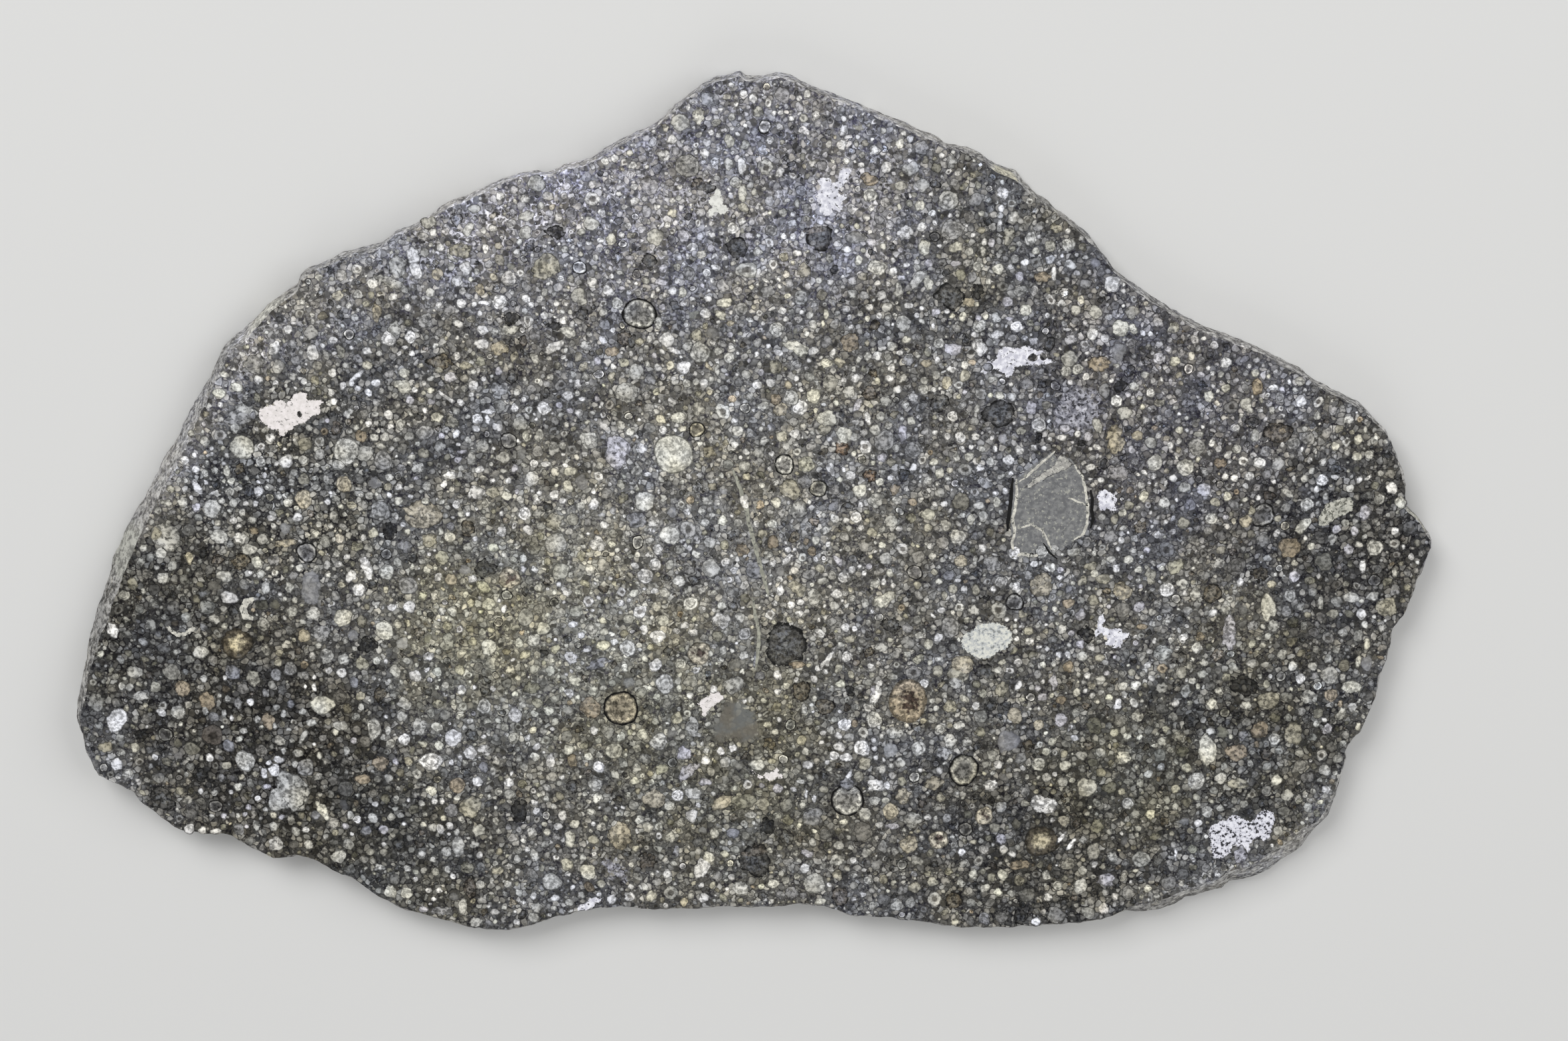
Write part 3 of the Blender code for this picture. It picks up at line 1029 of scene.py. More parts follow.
class GrainField:
    """All grains of the slice: those read from the photograph, and random ones between them.

    Darts are the random places that grains are tried at, and tries is how many of them one grain may use
    up. Each dart has its luck, from 0 to the luck limit. A grain takes the place if that is less than the
    zone's coarseness for a large grain, and for a small one less than the limit over the coarseness.
    """

    grains_a_piece = 1300
    least_mm = 0.4
    most_mm = 2.0
    spread = 0.38
    swelling = 1.05
    darts_a_grain = 60
    tries = 25
    large = 1.15
    luck_limit = 1.6
    light_spread = 0.38
    warm_spread = 0.018
    warm_shift = (1.0, 0.2, -1.2)
    stretch_spread = 0.14
    darkest = 0.01
    lightest = 0.7

    def __init__(self, bed: FaceBed, seed: int = 20) -> None:
        """Keep the front's bed; the back gets one of its own with the same outline."""
        self.bed = bed
        self.rng = np.random.default_rng(seed)

    def build(self) -> list[bpy.types.Object]:
        """Return the pieces, one or a few for each style."""
        grains = [Spot(*row).grain(style, tone) for (style, tone), rows in SPOTS.items() for row in rows]
        for grain in grains:
            self.bed.lay(grain.x, grain.y, (grain.across + grain.high) / 4)
        grains += self.random_grains(self.bed, 8500, 0.62, False)
        grains += self.random_grains(self.bed.twin(), 3000, 0.68, True)
        LOG.info("%d grains, %d of them in the back", len(grains), sum(g.under for g in grains))
        pieces = []
        for style in Style:
            own = sorted((g for g in grains if g.style is style), key=lambda g: (g.under, g.x))
            parts = max(1, round(len(own) / self.grains_a_piece))
            for number, part in enumerate(np.array_split(np.arange(len(own)), parts)):
                if len(part) > 0:
                    pieces.append(self.piece(style, number, [own[i] for i in part]))
        return pieces

    def random_grains(self, bed: FaceBed, count: int, median_mm: float, under: bool) -> list[Grain]:
        """Return grains thrown at random on a bed, the largest first, none over another.

        Args:
            bed: the face that takes them.
            count: how many are tried.
            median_mm: their middle size across.
            under: whether they are in the sawn back.

        Returns:
            The grains that found a place.
        """
        sizes = self.rng.lognormal(math.log(median_mm), self.spread, count)
        sizes = np.sort(np.clip(sizes, self.least_mm, self.most_mm))[::-1]
        points = bed.scatter(self.rng, self.darts_a_grain * count)
        coarse = zone_values_at(points[:, 0], points[:, 1])[:, 3]
        luck = self.rng.uniform(0.0, self.luck_limit, len(points))
        darts = iter(zip(points[:, 0].tolist(), points[:, 1].tolist(), coarse.tolist(), luck.tolist()))
        placed = []
        for size in sizes.tolist():
            is_large = size > median_mm * self.large
            for _ in range(self.tries):
                x, y, coarseness, fate = next(darts, (0.0, 0.0, 0.0, 1.0))
                wanted = coarseness if is_large else self.luck_limit / max(coarseness, 1.0)
                if fate < wanted and bed.is_free(x, y, size / 2):
                    bed.lay(x, y, size / 2)
                    placed.append((x, y, size))
                    break
        return self.dressed(np.array(placed), under)

    def dressed(self, placed: np.ndarray, under: bool) -> list[Grain]:
        """Return grains of random style, tone and stretch for places and sizes; the tone takes in the zones'
        painted light and shade.
        """
        # The zones' tint paints light and shade into each grain's tone, besides the stone's own tone
        tint = zone_values_at(placed[:, 0], placed[:, 1])[:, :3]
        count = len(placed)
        crown = VIEW.on_face(*CROWN_BELOW).y / MM
        styles = self.rng.choice(len(MIX), size=count, p=[mix.share for mix in MIX])
        light = self.rng.lognormal(0.0, self.light_spread, count)
        warm = self.rng.normal(0.0, self.warm_spread, count)
        stretch = 1.0 - np.abs(self.rng.normal(0.0, self.stretch_spread, count)).clip(0.0, 0.5)
        turn = self.rng.uniform(0.0, math.pi, count)
        grains = []
        for i, (x, y, size) in enumerate(placed):
            mix = MIX[styles[i]]
            names = [name for name, _ in mix.tones]
            chosen = names[self.rng.choice(len(names), p=[share for _, share in mix.tones])]
            if y > crown and chosen in WARM_TONES:
                chosen = "grey"
            warmth = 1.0 + warm[i] * np.array(self.warm_shift)
            shade = np.array(TONES[chosen]) * tint[i] * light[i] * warmth
            colour = tuple(float(c) for c in np.clip(shade, self.darkest, self.lightest))
            across = size * self.swelling
            high = across * stretch[i]
            grains.append(Grain(x, y, across, high, turn[i], mix.style, colour, mix.uneven, under))
        return grains

    def piece(self, style: Style, number: int, grains: Sequence[Grain]) -> bpy.types.Object:
        """Return one joined piece of grains."""
        name = f"grains_{style.value}_{number + 1}"
        mesh = GrainMesh().join(name, grains, self.rng)
        material = bpy.data.materials.get(f"grains_{style.value}") or GRAIN_FINISHES[style].build(style)
        mesh.materials.append(material)
        piece = bpy.data.objects.new(name, mesh)
        bpy.context.scene.collection.objects.link(piece)
        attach(piece, BODY)
        return piece

# The grains read from the photograph, each row the values of one Spot
SPOTS: dict[tuple[Style, str], tuple[tuple[float, ...], ...]] = {
    (Style.OUTLINED, "pale"): (
        (963, 473, 52, 46, 0, 0.03), (1276, 1205, 50, 48, 0, 0.03), (1181, 700, 30),
    ),
    (Style.OUTLINED, "khaki"): (
        (1451, 1160, 44, 48, 0, 0.05), (1232, 736, 26),
    ),
    (Style.BLOTCHED, "tan"): (
        (1367, 1056, 56, 66, 0, 0.03),
    ),
    (Style.HALOED, "umber"): (
        (1568, 1267, 50, 46), (357, 970, 48, 44, 0, 0.05),
    ),
    (Style.RINGED, "pale"): (
        (521, 680, 40), (1428, 302, 30), (1785, 704, 26), (369, 1146, 30), (1609, 369, 20),
        (1698, 1210, 18), (1919, 1113, 18), (1801, 1176, 26), (896, 1182, 24, 18), (393, 695, 16),
        (2077, 752, 16), (2070, 825, 24), (1968, 760, 20), (1191, 599, 23), (1310, 294, 22, 20),
        (729, 1064, 22), (1363, 611, 13), (1350, 754, 13), (1102, 176, 12), (1108, 275, 18),
        (1605, 559, 16), (1623, 556, 16), (1862, 676, 14), (1824, 781, 18), (563, 1098, 22, 30, 0, 0.1),
        (603, 640, 14, 18), (728, 785, 14), (929, 457, 18), (1141, 379, 14), (1169, 496, 24, 22),
        (1098, 539, 16), (1035, 578, 14), (887, 663, 32, 24, -30, 0.12), (1321, 403, 28, 24, 0, 0.12),
        (1552, 360, 18, 24), (1475, 491, 20), (1414, 517, 16), (1569, 831, 20), (1390, 587, 16),
        (1054, 531, 30, 32), (945, 976, 24), (1001, 1030, 28), (992, 1117, 26), (1316, 1084, 24),
        (1383, 1127, 22),
    ),
    (Style.RINGED, "grey"): (
        (577, 694, 28), (614, 882, 28), (1948, 668, 20), (1151, 250, 22), (1374, 678, 24),
        (1214, 314, 15), (1035, 250, 36), (1802, 673, 26), (1970, 660, 20), (1927, 599, 14, 16),
        (437, 1007, 20), (460, 1156, 26), (1037, 412, 20), (1161, 347, 18), (1116, 466, 20),
        (1200, 549, 14), (1434, 347, 34, 30), (1431, 945, 28, 32), (1331, 664, 32),
    ),
    (Style.RINGED, "tan"): (
        (689, 1183, 24), (1893, 583, 16, 26), (2004, 1047, 20),
    ),
    (Style.CORED, "brown"): (
        (320, 1107, 32, 30),
    ),
    (Style.CORED, "pale"): (
        (245, 1063, 14), (1407, 1354, 22), (1153, 252, 22), (1504, 919, 24, 24),
        (1124, 407, 34, 24, 0, 0.12),
    ),
    (Style.PLAIN, "cream"): (
        (364, 674, 37, 36, 0, 0.03), (1014, 684, 60, 58, 20, 0.04), (1687, 494, 26), (1385, 310, 16),
        (1354, 312, 8, 14), (1503, 405, 17), (1545, 467, 18), (1769, 544, 16),
        (1909, 915, 22, 44, 10, 0.14), (1962, 792, 30, 16, 50, 0.1), (1818, 1130, 28, 48, 5, 0.1),
        (485, 1062, 40, 26, 10, 0.09), (579, 950, 28), (804, 964, 20), (486, 1221, 14, 36, 28, 0.1),
        (588, 1343, 20), (612, 1345, 18), (885, 1313, 24), (1465, 1316, 14, 18), (1728, 1338, 12),
        (2058, 970, 9, 22), (2045, 995, 8, 24), (2035, 1035, 32, 18), (2011, 673, 14), (2045, 662, 14),
        (2043, 688, 14), (2109, 757, 18), (1848, 748, 14), (1706, 495, 12, 20, 30),
        (1098, 212, 14, 22, 20), (342, 710, 9, 24), (349, 724, 12), (1294, 739, 22, 20, 0, 0.1),
        (1325, 726, 12), (1245, 630, 30, 24, 20, 0.12), (1286, 683, 9), (1372, 634, 13),
        (1825, 1060, 14, 20), (2045, 1095, 8, 18), (1235, 1358, 18, 11), (1340, 863, 12, 14),
        (1398, 971, 14, 18), (1070, 984, 8, 12), (1184, 1033, 10), (865, 1241, 14), (824, 1254, 12),
        (858, 1264, 16, 28, 0, 0.12), (1228, 813, 13), (357, 583, 22, 14, 0, 0.1), (1505, 596, 14, 12),
        (1406, 696, 14, 12), (1415, 713, 14, 16), (1501, 756, 12, 16), (1462, 783, 12, 16),
        (1720, 613, 9), (1722, 747, 14, 18), (1690, 773, 12), (1890, 562, 12), (1846, 585, 14, 12),
        (1820, 597, 16, 18, 0, 0.12), (1910, 567, 7), (1776, 648, 12), (1804, 692, 9, 10),
        (1008, 1214, 16), (1140, 1152, 24, 16, 0, 0.12), (1333, 1206, 12, 10), (1271, 1238, 16, 9),
        (1076, 1255, 13, 16), (1067, 1292, 20, 18, 0, 0.1), (1159, 1281, 10), (1167, 1102, 11),
        (1226, 1052, 8, 12, -20), (505, 1102, 10, 12), (358, 1185, 14, 12), (481, 1137, 8, 12),
        (394, 1095, 9), (608, 562, 20, 14, 0, 0.1), (607, 582, 24, 22, 0, 0.12), (649, 588, 11),
        (658, 629, 18, 16, 0, 0.1), (621, 688, 14, 9), (616, 697, 7), (859, 710, 20, 15, 0, 0.14),
        (763, 747, 16, 14, 0, 0.1), (855, 733, 16, 18, 0, 0.12), (600, 755, 12, 14), (641, 755, 12, 11),
        (694, 774, 9), (920, 360, 16, 18, 0, 0.08), (1085, 475, 20, 12, -25, 0.12), (1194, 396, 8),
        (1186, 446, 12, 10), (1131, 433, 8), (1200, 524, 38, 20, -20, 0.16), (1114, 503, 9, 7),
        (1028, 441, 14, 16, 0, 0.14), (1090, 456, 26, 15, 0, 0.12), (1290, 341, 10),
        (1392, 373, 18, 26, 0, 0.12), (1300, 377, 8), (1293, 391, 12, 16, 0, 0.1),
        (1440, 372, 22, 16, 0, 0.16), (1398, 426, 13, 28, 15, 0.12), (1471, 458, 7, 9),
        (1450, 476, 13, 16), (1306, 480, 8), (1244, 473, 10, 18), (1239, 487, 8, 14),
        (1365, 511, 14, 12, 0, 0.14), (1245, 547, 18, 14, 0, 0.14), (337, 724, 6, 8), (484, 758, 6),
        (446, 765, 7), (535, 700, 7), (493, 704, 7), (1553, 837, 7), (1648, 864, 12, 14),
        (1699, 843, 14, 16, 0, 0.12), (1714, 858, 14, 10), (1726, 854, 7), (1588, 918, 10),
        (1699, 1002, 6), (1509, 998, 14, 9), (1583, 1047, 8), (1621, 1042, 12, 14), (1538, 1054, 10, 8),
        (1414, 875, 12, 10), (1272, 655, 28, 24, 0, 0.16), (1332, 903, 46, 17, 40, 0.15),
    ),
    (Style.PLAIN, "white"): (
        (1134, 148, 13, 17), (1086, 165, 9), (1108, 157, 8), (1165, 170, 8), (1175, 170, 8),
        (1191, 179, 8), (1117, 250, 14, 30, 0, 0.09), (1335, 252, 16, 18), (1427, 658, 11),
        (1388, 342, 15), (1564, 357, 8), (1587, 412, 9, 24), (1577, 475, 8), (1645, 503, 18),
        (1732, 503, 8), (1846, 546, 17), (1959, 604, 18), (1918, 584, 16, 10), (2096, 735, 18),
        (2052, 852, 10, 22), (2050, 925, 16), (1958, 1023, 16), (1804, 1240, 12),
        (1598, 1262, 7, 24, -35), (1613, 1272, 7, 24, -35), (1524, 1286, 12), (1448, 1283, 12),
        (1560, 1388, 14), (1299, 1347, 10), (1058, 1306, 22, 38, -20, 0.14),
        (552, 855, 17, 38, 20, 0.1), (540, 888, 20), (834, 523, 34, 15, 35, 0.1),
        (537, 567, 36, 8, 40, 0.1), (176, 1085, 28, 38, -25, 0.12), (413, 1160, 18), (398, 1165, 9, 18),
        (285, 1248, 16), (305, 1250, 12), (325, 1252, 18, 8), (294, 707, 12), (408, 780, 16, 9),
        (430, 695, 26, 18, 20, 0.13), (389, 740, 16), (243, 1073, 14), (345, 900, 26, 18, 0, 0.1),
        (1121, 756, 14, 26, 20, 0.12), (991, 959, 24, 20), (987, 1002, 20), (1102, 193, 8),
        (1122, 189, 8), (1307, 630, 10, 22, 10, 0.16), (170, 950, 16, 28, 10, 0.1), (926, 238, 12),
        (1770, 1287, 6, 22), (652, 350, 12), (731, 375, 10, 18), (652, 379, 8), (622, 385, 20, 28),
        (627, 408, 18, 34, 25, 0.12), (701, 404, 18, 24, 0, 0.1), (661, 459, 10), (730, 456, 20, 8),
        (615, 463, 12), (792, 450, 14), (799, 459, 10), (838, 457, 10), (820, 475, 12), (848, 483, 12),
        (727, 497, 16), (690, 487, 22, 10, -30, 0.1), (688, 509, 8), (725, 518, 26, 14, 0, 0.12),
        (620, 532, 10), (695, 457, 15), (592, 447, 14, 12), (1247, 820, 9), (1283, 858, 12),
        (1301, 863, 9), (1331, 876, 8, 14), (1260, 894, 18, 14), (1191, 911, 12), (1204, 924, 14, 10),
        (1233, 933, 6, 12), (1287, 947, 10), (1232, 1007, 10), (1243, 1012, 10), (1325, 1028, 10),
        (1199, 1024, 8), (1075, 1038, 12), (1184, 844, 10, 26, -40, 0.12), (708, 1134, 20),
        (679, 1148, 8, 10), (719, 1177, 16), (766, 1179, 15), (829, 1147, 14, 24), (770, 1165, 8),
        (565, 1211, 10), (654, 1206, 10, 12), (666, 1207, 10), (804, 1208, 14, 8, -30), (608, 1241, 8),
        (663, 1248, 12, 16), (677, 1244, 12), (893, 1241, 8), (722, 1288, 10, 12), (794, 1279, 8),
        (894, 1287, 8), (578, 1272, 8), (682, 1320, 8), (626, 1324, 8), (862, 1337, 8, 10),
        (645, 1341, 10), (661, 1341, 10), (803, 1349, 10, 14), (836, 1352, 14, 10), (901, 1347, 8),
        (653, 1354, 8), (778, 1389, 10), (2047, 723, 10), (2060, 719, 14, 6, 35), (2100, 800, 12),
        (2125, 838, 10), (1982, 738, 8, 12), (297, 735, 12, 28, 30, 0.1), (1405, 587, 9),
        (1446, 659, 18), (1519, 693, 16, 18, 0, 0.1), (1522, 713, 8), (1498, 675, 8, 16, 20),
        (1422, 759, 12), (1622, 654, 10), (1598, 659, 20, 10), (1652, 673, 16, 8, 0, 0.1),
        (1642, 676, 8), (1744, 656, 10), (1724, 713, 14, 7, -35), (1755, 728, 8, 12, -20),
        (1749, 570, 7, 14), (1674, 573, 7, 9), (1635, 567, 12), (1733, 773, 6, 10), (1656, 796, 7),
        (1820, 554, 8), (1941, 575, 7, 9), (1775, 623, 7), (1775, 664, 10), (1762, 671, 11),
        (1825, 667, 10, 12), (1931, 670, 7), (1960, 677, 7, 9), (1972, 692, 8, 12), (1845, 718, 10),
        (1859, 720, 12), (1895, 750, 8, 10), (1948, 721, 7, 12), (1062, 1145, 14), (1103, 1127, 12),
        (1195, 1189, 11, 8), (1214, 1196, 6, 20), (1226, 1203, 6, 14), (1217, 1152, 16, 14, 0, 0.08),
        (1245, 1148, 8), (1264, 1125, 18, 14, 0, 0.1), (1274, 1141, 20, 12, 0, 0.1),
        (1317, 1127, 9, 10), (1319, 1141, 8), (1278, 1169, 7, 22, -25, 0.1), (1336, 1183, 10, 12),
        (1285, 1296, 10), (1173, 1084, 8), (1240, 1104, 10, 9), (1237, 1118, 9, 7), (1121, 1056, 10, 8),
        (339, 1021, 7, 8), (474, 1020, 8), (515, 1013, 16, 14, 0, 0.1), (460, 1034, 6),
        (473, 1035, 8, 14), (377, 1057, 11, 12), (349, 1081, 7, 10), (581, 1080, 7),
        (316, 1141, 12, 14), (347, 1193, 7, 9), (302, 1191, 8, 10), (388, 1202, 9), (405, 1149, 10, 8),
        (420, 1144, 18, 11, 0, 0.1), (615, 1205, 6), (529, 1256, 7), (473, 1121, 6, 8), (460, 1249, 11),
        (566, 577, 16, 12), (728, 571, 9, 7), (713, 581, 16, 16, 0, 0.08), (625, 588, 9),
        (672, 598, 36, 7, -32, 0.12), (694, 606, 12, 11), (710, 595, 8), (640, 618, 9), (585, 625, 14),
        (735, 620, 22, 9, 0, 0.12), (734, 631, 9, 18, 30, 0.1), (717, 646, 12),
        (775, 614, 14, 16, 0, 0.1), (807, 632, 8, 6), (855, 596, 17, 14, 0, 0.08), (877, 601, 11, 9),
        (588, 642, 10), (687, 654, 12, 14), (690, 670, 8, 6), (743, 676, 7), (780, 664, 6, 8),
        (678, 716, 24, 11, 0, 0.12), (669, 729, 12), (601, 733, 14, 12), (722, 707, 16, 11, 0, 0.1),
        (766, 723, 10, 11), (742, 724, 10, 8), (822, 699, 14, 9), (851, 701, 8), (801, 740, 6),
        (812, 743, 10), (834, 745, 14, 18, 0, 0.1), (847, 754, 10), (586, 746, 9), (657, 752, 6, 8),
        (705, 775, 8), (717, 766, 6), (755, 774, 8), (607, 790, 9), (894, 740, 10),
        (894, 760, 16, 20, 0, 0.12), (887, 367, 14, 7), (921, 416, 7), (958, 427, 6), (923, 497, 8),
        (991, 436, 9, 8), (1066, 450, 13, 11), (1062, 472, 16, 16, 0, 0.06), (1033, 490, 7),
        (1082, 485, 6), (1091, 388, 8), (1152, 423, 14, 6, -35), (1173, 421, 14, 6, -40),
        (1180, 355, 10), (1194, 356, 9), (1183, 481, 8), (1149, 487, 7), (1208, 470, 8), (1157, 521, 8),
        (1172, 531, 14, 12), (1139, 533, 8, 10), (1140, 580, 15, 14, 0, 0.06), (1111, 532, 7),
        (1015, 528, 22, 9, -25, 0.12), (1014, 571, 8), (1060, 578, 14, 16, 0, 0.1),
        (1029, 553, 22, 22, 0, 0.1), (1004, 511, 24, 22, 0, 0.12), (1328, 352, 6), (1344, 391, 9),
        (1364, 398, 12, 10), (1415, 370, 7, 8), (1269, 417, 6), (1483, 365, 8, 14), (1465, 354, 9),
        (1543, 395, 13, 11), (1309, 463, 13, 12), (1369, 460, 15, 10), (1388, 465, 8),
        (1425, 469, 9, 8), (1344, 488, 6, 7), (1280, 478, 9), (1338, 510, 6), (1405, 491, 6, 12),
        (1502, 504, 20, 12, 0, 0.1), (1466, 504, 8), (1411, 542, 9, 12), (1370, 558, 5, 8),
        (1339, 570, 14, 12), (332, 610, 9), (386, 646, 8), (429, 676, 6), (320, 684, 8, 6),
        (337, 698, 8, 7), (417, 698, 9), (389, 726, 6), (293, 726, 7, 9), (385, 758, 9, 10),
        (493, 755, 10), (448, 779, 16, 14, 0, 0.12), (503, 605, 12), (517, 581, 12, 13),
        (529, 576, 10, 12), (555, 591, 12), (555, 638, 10), (458, 574, 10), (445, 584, 7),
        (415, 577, 11, 10), (1557, 849, 12, 10), (1516, 934, 8), (1529, 934, 7), (1529, 952, 8),
        (1531, 962, 8, 12), (1550, 966, 14, 11), (1576, 942, 8, 6), (1596, 870, 12, 8),
        (1681, 856, 12, 14), (1719, 838, 7), (1684, 827, 8), (1738, 966, 7, 10), (1728, 1002, 12),
        (1533, 1033, 8, 22, -30, 0.12), (1570, 1027, 7), (1638, 1018, 12, 11),
        (1683, 1060, 12, 20, -20, 0.14), (1469, 1063, 12), (1564, 1068, 8),
        (1413, 960, 13, 16, 0, 0.12), (1404, 927, 14, 6, -45), (1319, 1048, 40, 12, 72, 0.25),
        (1248, 991, 42, 9, 60, 0.3),
    ),
    (Style.PLAIN, "pale"): (
        (1024, 185, 27), (870, 445, 22), (987, 357, 26), (791, 350, 20), (808, 276, 26),
        (1360, 487, 24), (1739, 697, 24), (837, 818, 32), (1069, 817, 18), (1070, 856, 28),
        (319, 766, 30, 26, 45, 0.1), (275, 757, 16), (251, 757, 19, 10), (308, 665, 16), (380, 784, 13),
        (395, 812, 16), (330, 808, 26, 22), (242, 833, 18), (245, 870, 18), (375, 828, 26, 16),
        (400, 885, 13, 20), (338, 868, 26, 16), (1226, 1331, 32), (418, 1205, 30, 34, 0, 0.1),
        (444, 1204, 26, 34, 0, 0.1), (203, 1013, 26, 19), (183, 1033, 12), (195, 1035, 12),
        (212, 1048, 26, 14), (510, 1290, 24, 20), (562, 1232, 16), (528, 1228, 12), (412, 1245, 14),
        (445, 1252, 14), (465, 1272, 14), (635, 1287, 14), (672, 1283, 16), (831, 1328, 30, 26),
        (805, 1288, 15, 20), (690, 1275, 18, 36), (723, 1333, 14), (765, 1332, 12), (697, 1365, 14, 26),
        (1627, 1335, 19, 26), (1838, 1172, 18), (1995, 1160, 18), (1817, 1222, 18), (1925, 1252, 16),
        (1977, 1004, 14), (2022, 953, 14), (1989, 908, 10, 22), (1876, 608, 18), (1610, 540, 24),
        (1649, 470, 20), (1620, 467, 16), (1356, 280, 18), (1210, 178, 13), (1118, 292, 14, 27),
        (1179, 320, 13), (1200, 306, 8, 20), (1136, 290, 8, 14), (1318, 648, 17), (1285, 658, 15),
        (1349, 676, 11, 13), (1397, 724, 13), (1326, 627, 14), (1097, 247, 14, 20), (302, 982, 24, 20),
        (268, 1073, 22), (646, 335, 26, 16, 10, 0.1), (715, 315, 20, 14), (793, 325, 24, 16, 0, 0.12),
        (815, 310, 12), (890, 337, 22), (705, 345, 14, 24, -15, 0.1), (640, 380, 14),
        (680, 388, 22, 8, -40), (717, 409, 8, 14), (680, 402, 12, 14), (648, 440, 14, 16),
        (745, 500, 12), (855, 500, 24, 16, -30, 0.1), (805, 540, 12, 20, 25), (879, 454, 12),
        (820, 440, 12), (875, 350, 12), (850, 376, 12), (1061, 787, 14), (1111, 787, 12, 14),
        (1277, 827, 10), (1334, 841, 18, 20, 0, 0.12), (1256, 913, 14, 16), (1302, 908, 12, 16),
        (1114, 930, 14, 18), (1384, 957, 12), (1327, 975, 22, 14, 0, 0.12), (1120, 988, 16, 14),
        (742, 1162, 8, 18), (813, 1165, 10, 7), (790, 1155, 12), (635, 1210, 10), (603, 1228, 10),
        (694, 1233, 9), (652, 1247, 14), (688, 1254, 10), (751, 1252, 10), (738, 1261, 8, 12),
        (651, 1295, 10), (779, 1294, 12), (746, 1300, 9), (780, 1313, 8, 10), (613, 1308, 10),
        (638, 1311, 10), (674, 1310, 10, 12), (740, 1328, 8, 12), (875, 1349, 12),
        (717, 1389, 22, 14, 0, 0.12), (803, 1382, 16), (585, 1173, 14), (2062, 685, 14, 12),
        (1996, 748, 10, 12), (2033, 735, 12, 14), (2091, 776, 8), (2100, 862, 8, 20),
        (2035, 900, 26, 16, 0, 0.1), (2067, 898, 20, 14, 0, 0.1), (1471, 616, 10, 14),
        (1479, 676, 14, 10), (1508, 717, 20, 8, 25), (1480, 778, 16), (1474, 761, 18, 12, 0, 0.1),
        (1440, 689, 10, 18), (1491, 695, 14, 12), (1653, 642, 13, 28, 20, 0.1),
        (1694, 622, 26, 18, 0, 0.1), (1733, 667, 18, 18, 0, 0.1), (1707, 582, 16, 14), (1724, 564, 12),
        (1691, 796, 10), (1838, 564, 10), (1915, 618, 10, 12), (1882, 618, 12, 8), (1870, 626, 8, 10),
        (1984, 626, 12, 14), (1787, 630, 8), (1770, 614, 8), (1805, 654, 16, 10),
        (1890, 656, 14, 20, 0, 0.1), (1965, 646, 10), (2056, 647, 8, 10), (1784, 734, 20, 16, 0, 0.1),
        (1964, 721, 16, 12), (1975, 709, 10), (1938, 742, 22, 10, -30, 0.1), (1925, 756, 9),
        (1874, 752, 14, 8), (1092, 1148, 16, 18, 0, 0.08), (1062, 1131, 14, 8), (1044, 1120, 8),
        (1049, 1107, 14, 8), (1044, 1195, 26, 18, 0, 0.16), (1130, 1227, 18, 10), (1074, 1196, 8),
        (1206, 1177, 12, 8), (1281, 1126, 8, 10), (1356, 1149, 16), (1342, 1154, 10),
        (1317, 1206, 20, 14, 0, 0.1), (1302, 1226, 20, 20, 0, 0.12), (1224, 1269, 12, 14),
        (1281, 1276, 9), (1263, 1273, 16), (1099, 1270, 8), (1211, 1068, 10, 16), (1251, 1099, 12, 14),
        (1130, 1054, 10), (1144, 1067, 7), (1144, 1077, 8), (307, 1022, 12), (563, 1021, 8),
        (609, 1060, 22, 18, 0, 0.14), (605, 1079, 16), (544, 1065, 10, 12), (456, 1072, 12, 10),
        (343, 1052, 10), (329, 1060, 7, 14), (330, 1048, 8), (309, 1070, 10, 16), (337, 1074, 8, 12),
        (388, 1084, 9, 12), (427, 1075, 9, 12), (416, 1065, 10), (414, 1094, 7, 12), (435, 1099, 10, 7),
        (457, 1110, 8, 26, -30, 0.1), (469, 1088, 16, 12), (513, 1093, 28, 13, 0, 0.14), (577, 1110, 9),
        (584, 1100, 9, 16), (367, 1100, 12, 10), (323, 1194, 12, 9), (599, 1187, 7), (522, 1162, 7, 10),
        (522, 1130, 9, 20), (444, 1151, 10), (449, 1135, 16, 12), (427, 1131, 8, 12), (359, 1229, 8),
        (320, 1229, 10, 6), (400, 1219, 8), (490, 1260, 9), (649, 570, 16, 8, 20), (699, 585, 11),
        (595, 596, 9), (564, 624, 12, 8), (617, 623, 12, 8, -40), (704, 628, 9), (892, 622, 10, 6),
        (829, 568, 10), (790, 571, 8), (580, 658, 14, 14, 0, 0.1), (597, 662, 12, 8), (574, 672, 14, 8),
        (705, 663, 12), (738, 664, 8, 9), (812, 656, 14, 22, 0, 0.12), (757, 689, 22, 16, 0, 0.1),
        (710, 690, 14, 26, 0, 0.14), (643, 732, 14, 14, 0, 0.1), (740, 699, 7), (758, 709, 12, 8),
        (847, 672, 12), (914, 379, 9), (897, 388, 10), (895, 402, 9), (933, 411, 14, 7), (946, 400, 9),
        (908, 471, 14, 11), (973, 423, 12), (1095, 360, 8, 12), (1182, 510, 8, 12), (1081, 529, 12, 14),
        (991, 487, 12, 20), (973, 523, 9), (957, 560, 24, 24, 0, 0.12), (1220, 475, 12),
        (1224, 489, 14), (1048, 575, 12), (1071, 571, 10), (1123, 564, 14), (1080, 557, 8, 20),
        (1330, 371, 10), (1381, 402, 11), (1234, 423, 12), (1460, 379, 14), (1480, 379, 10, 16),
        (1528, 390, 12, 14), (1506, 378, 8), (1488, 423, 9, 12), (1353, 439, 13, 28, 0, 0.14),
        (1382, 421, 18, 34, -35, 0.14), (1343, 521, 15, 16, 0, 0.1), (1479, 503, 8), (1382, 535, 10),
        (1306, 536, 12, 14), (1293, 541, 8, 14), (1410, 565, 16, 14, 0, 0.12), (1392, 573, 12),
        (1494, 571, 18, 10, 0, 0.12), (367, 618, 34, 18, 0, 0.16), (353, 644, 14, 18, 0, 0.12),
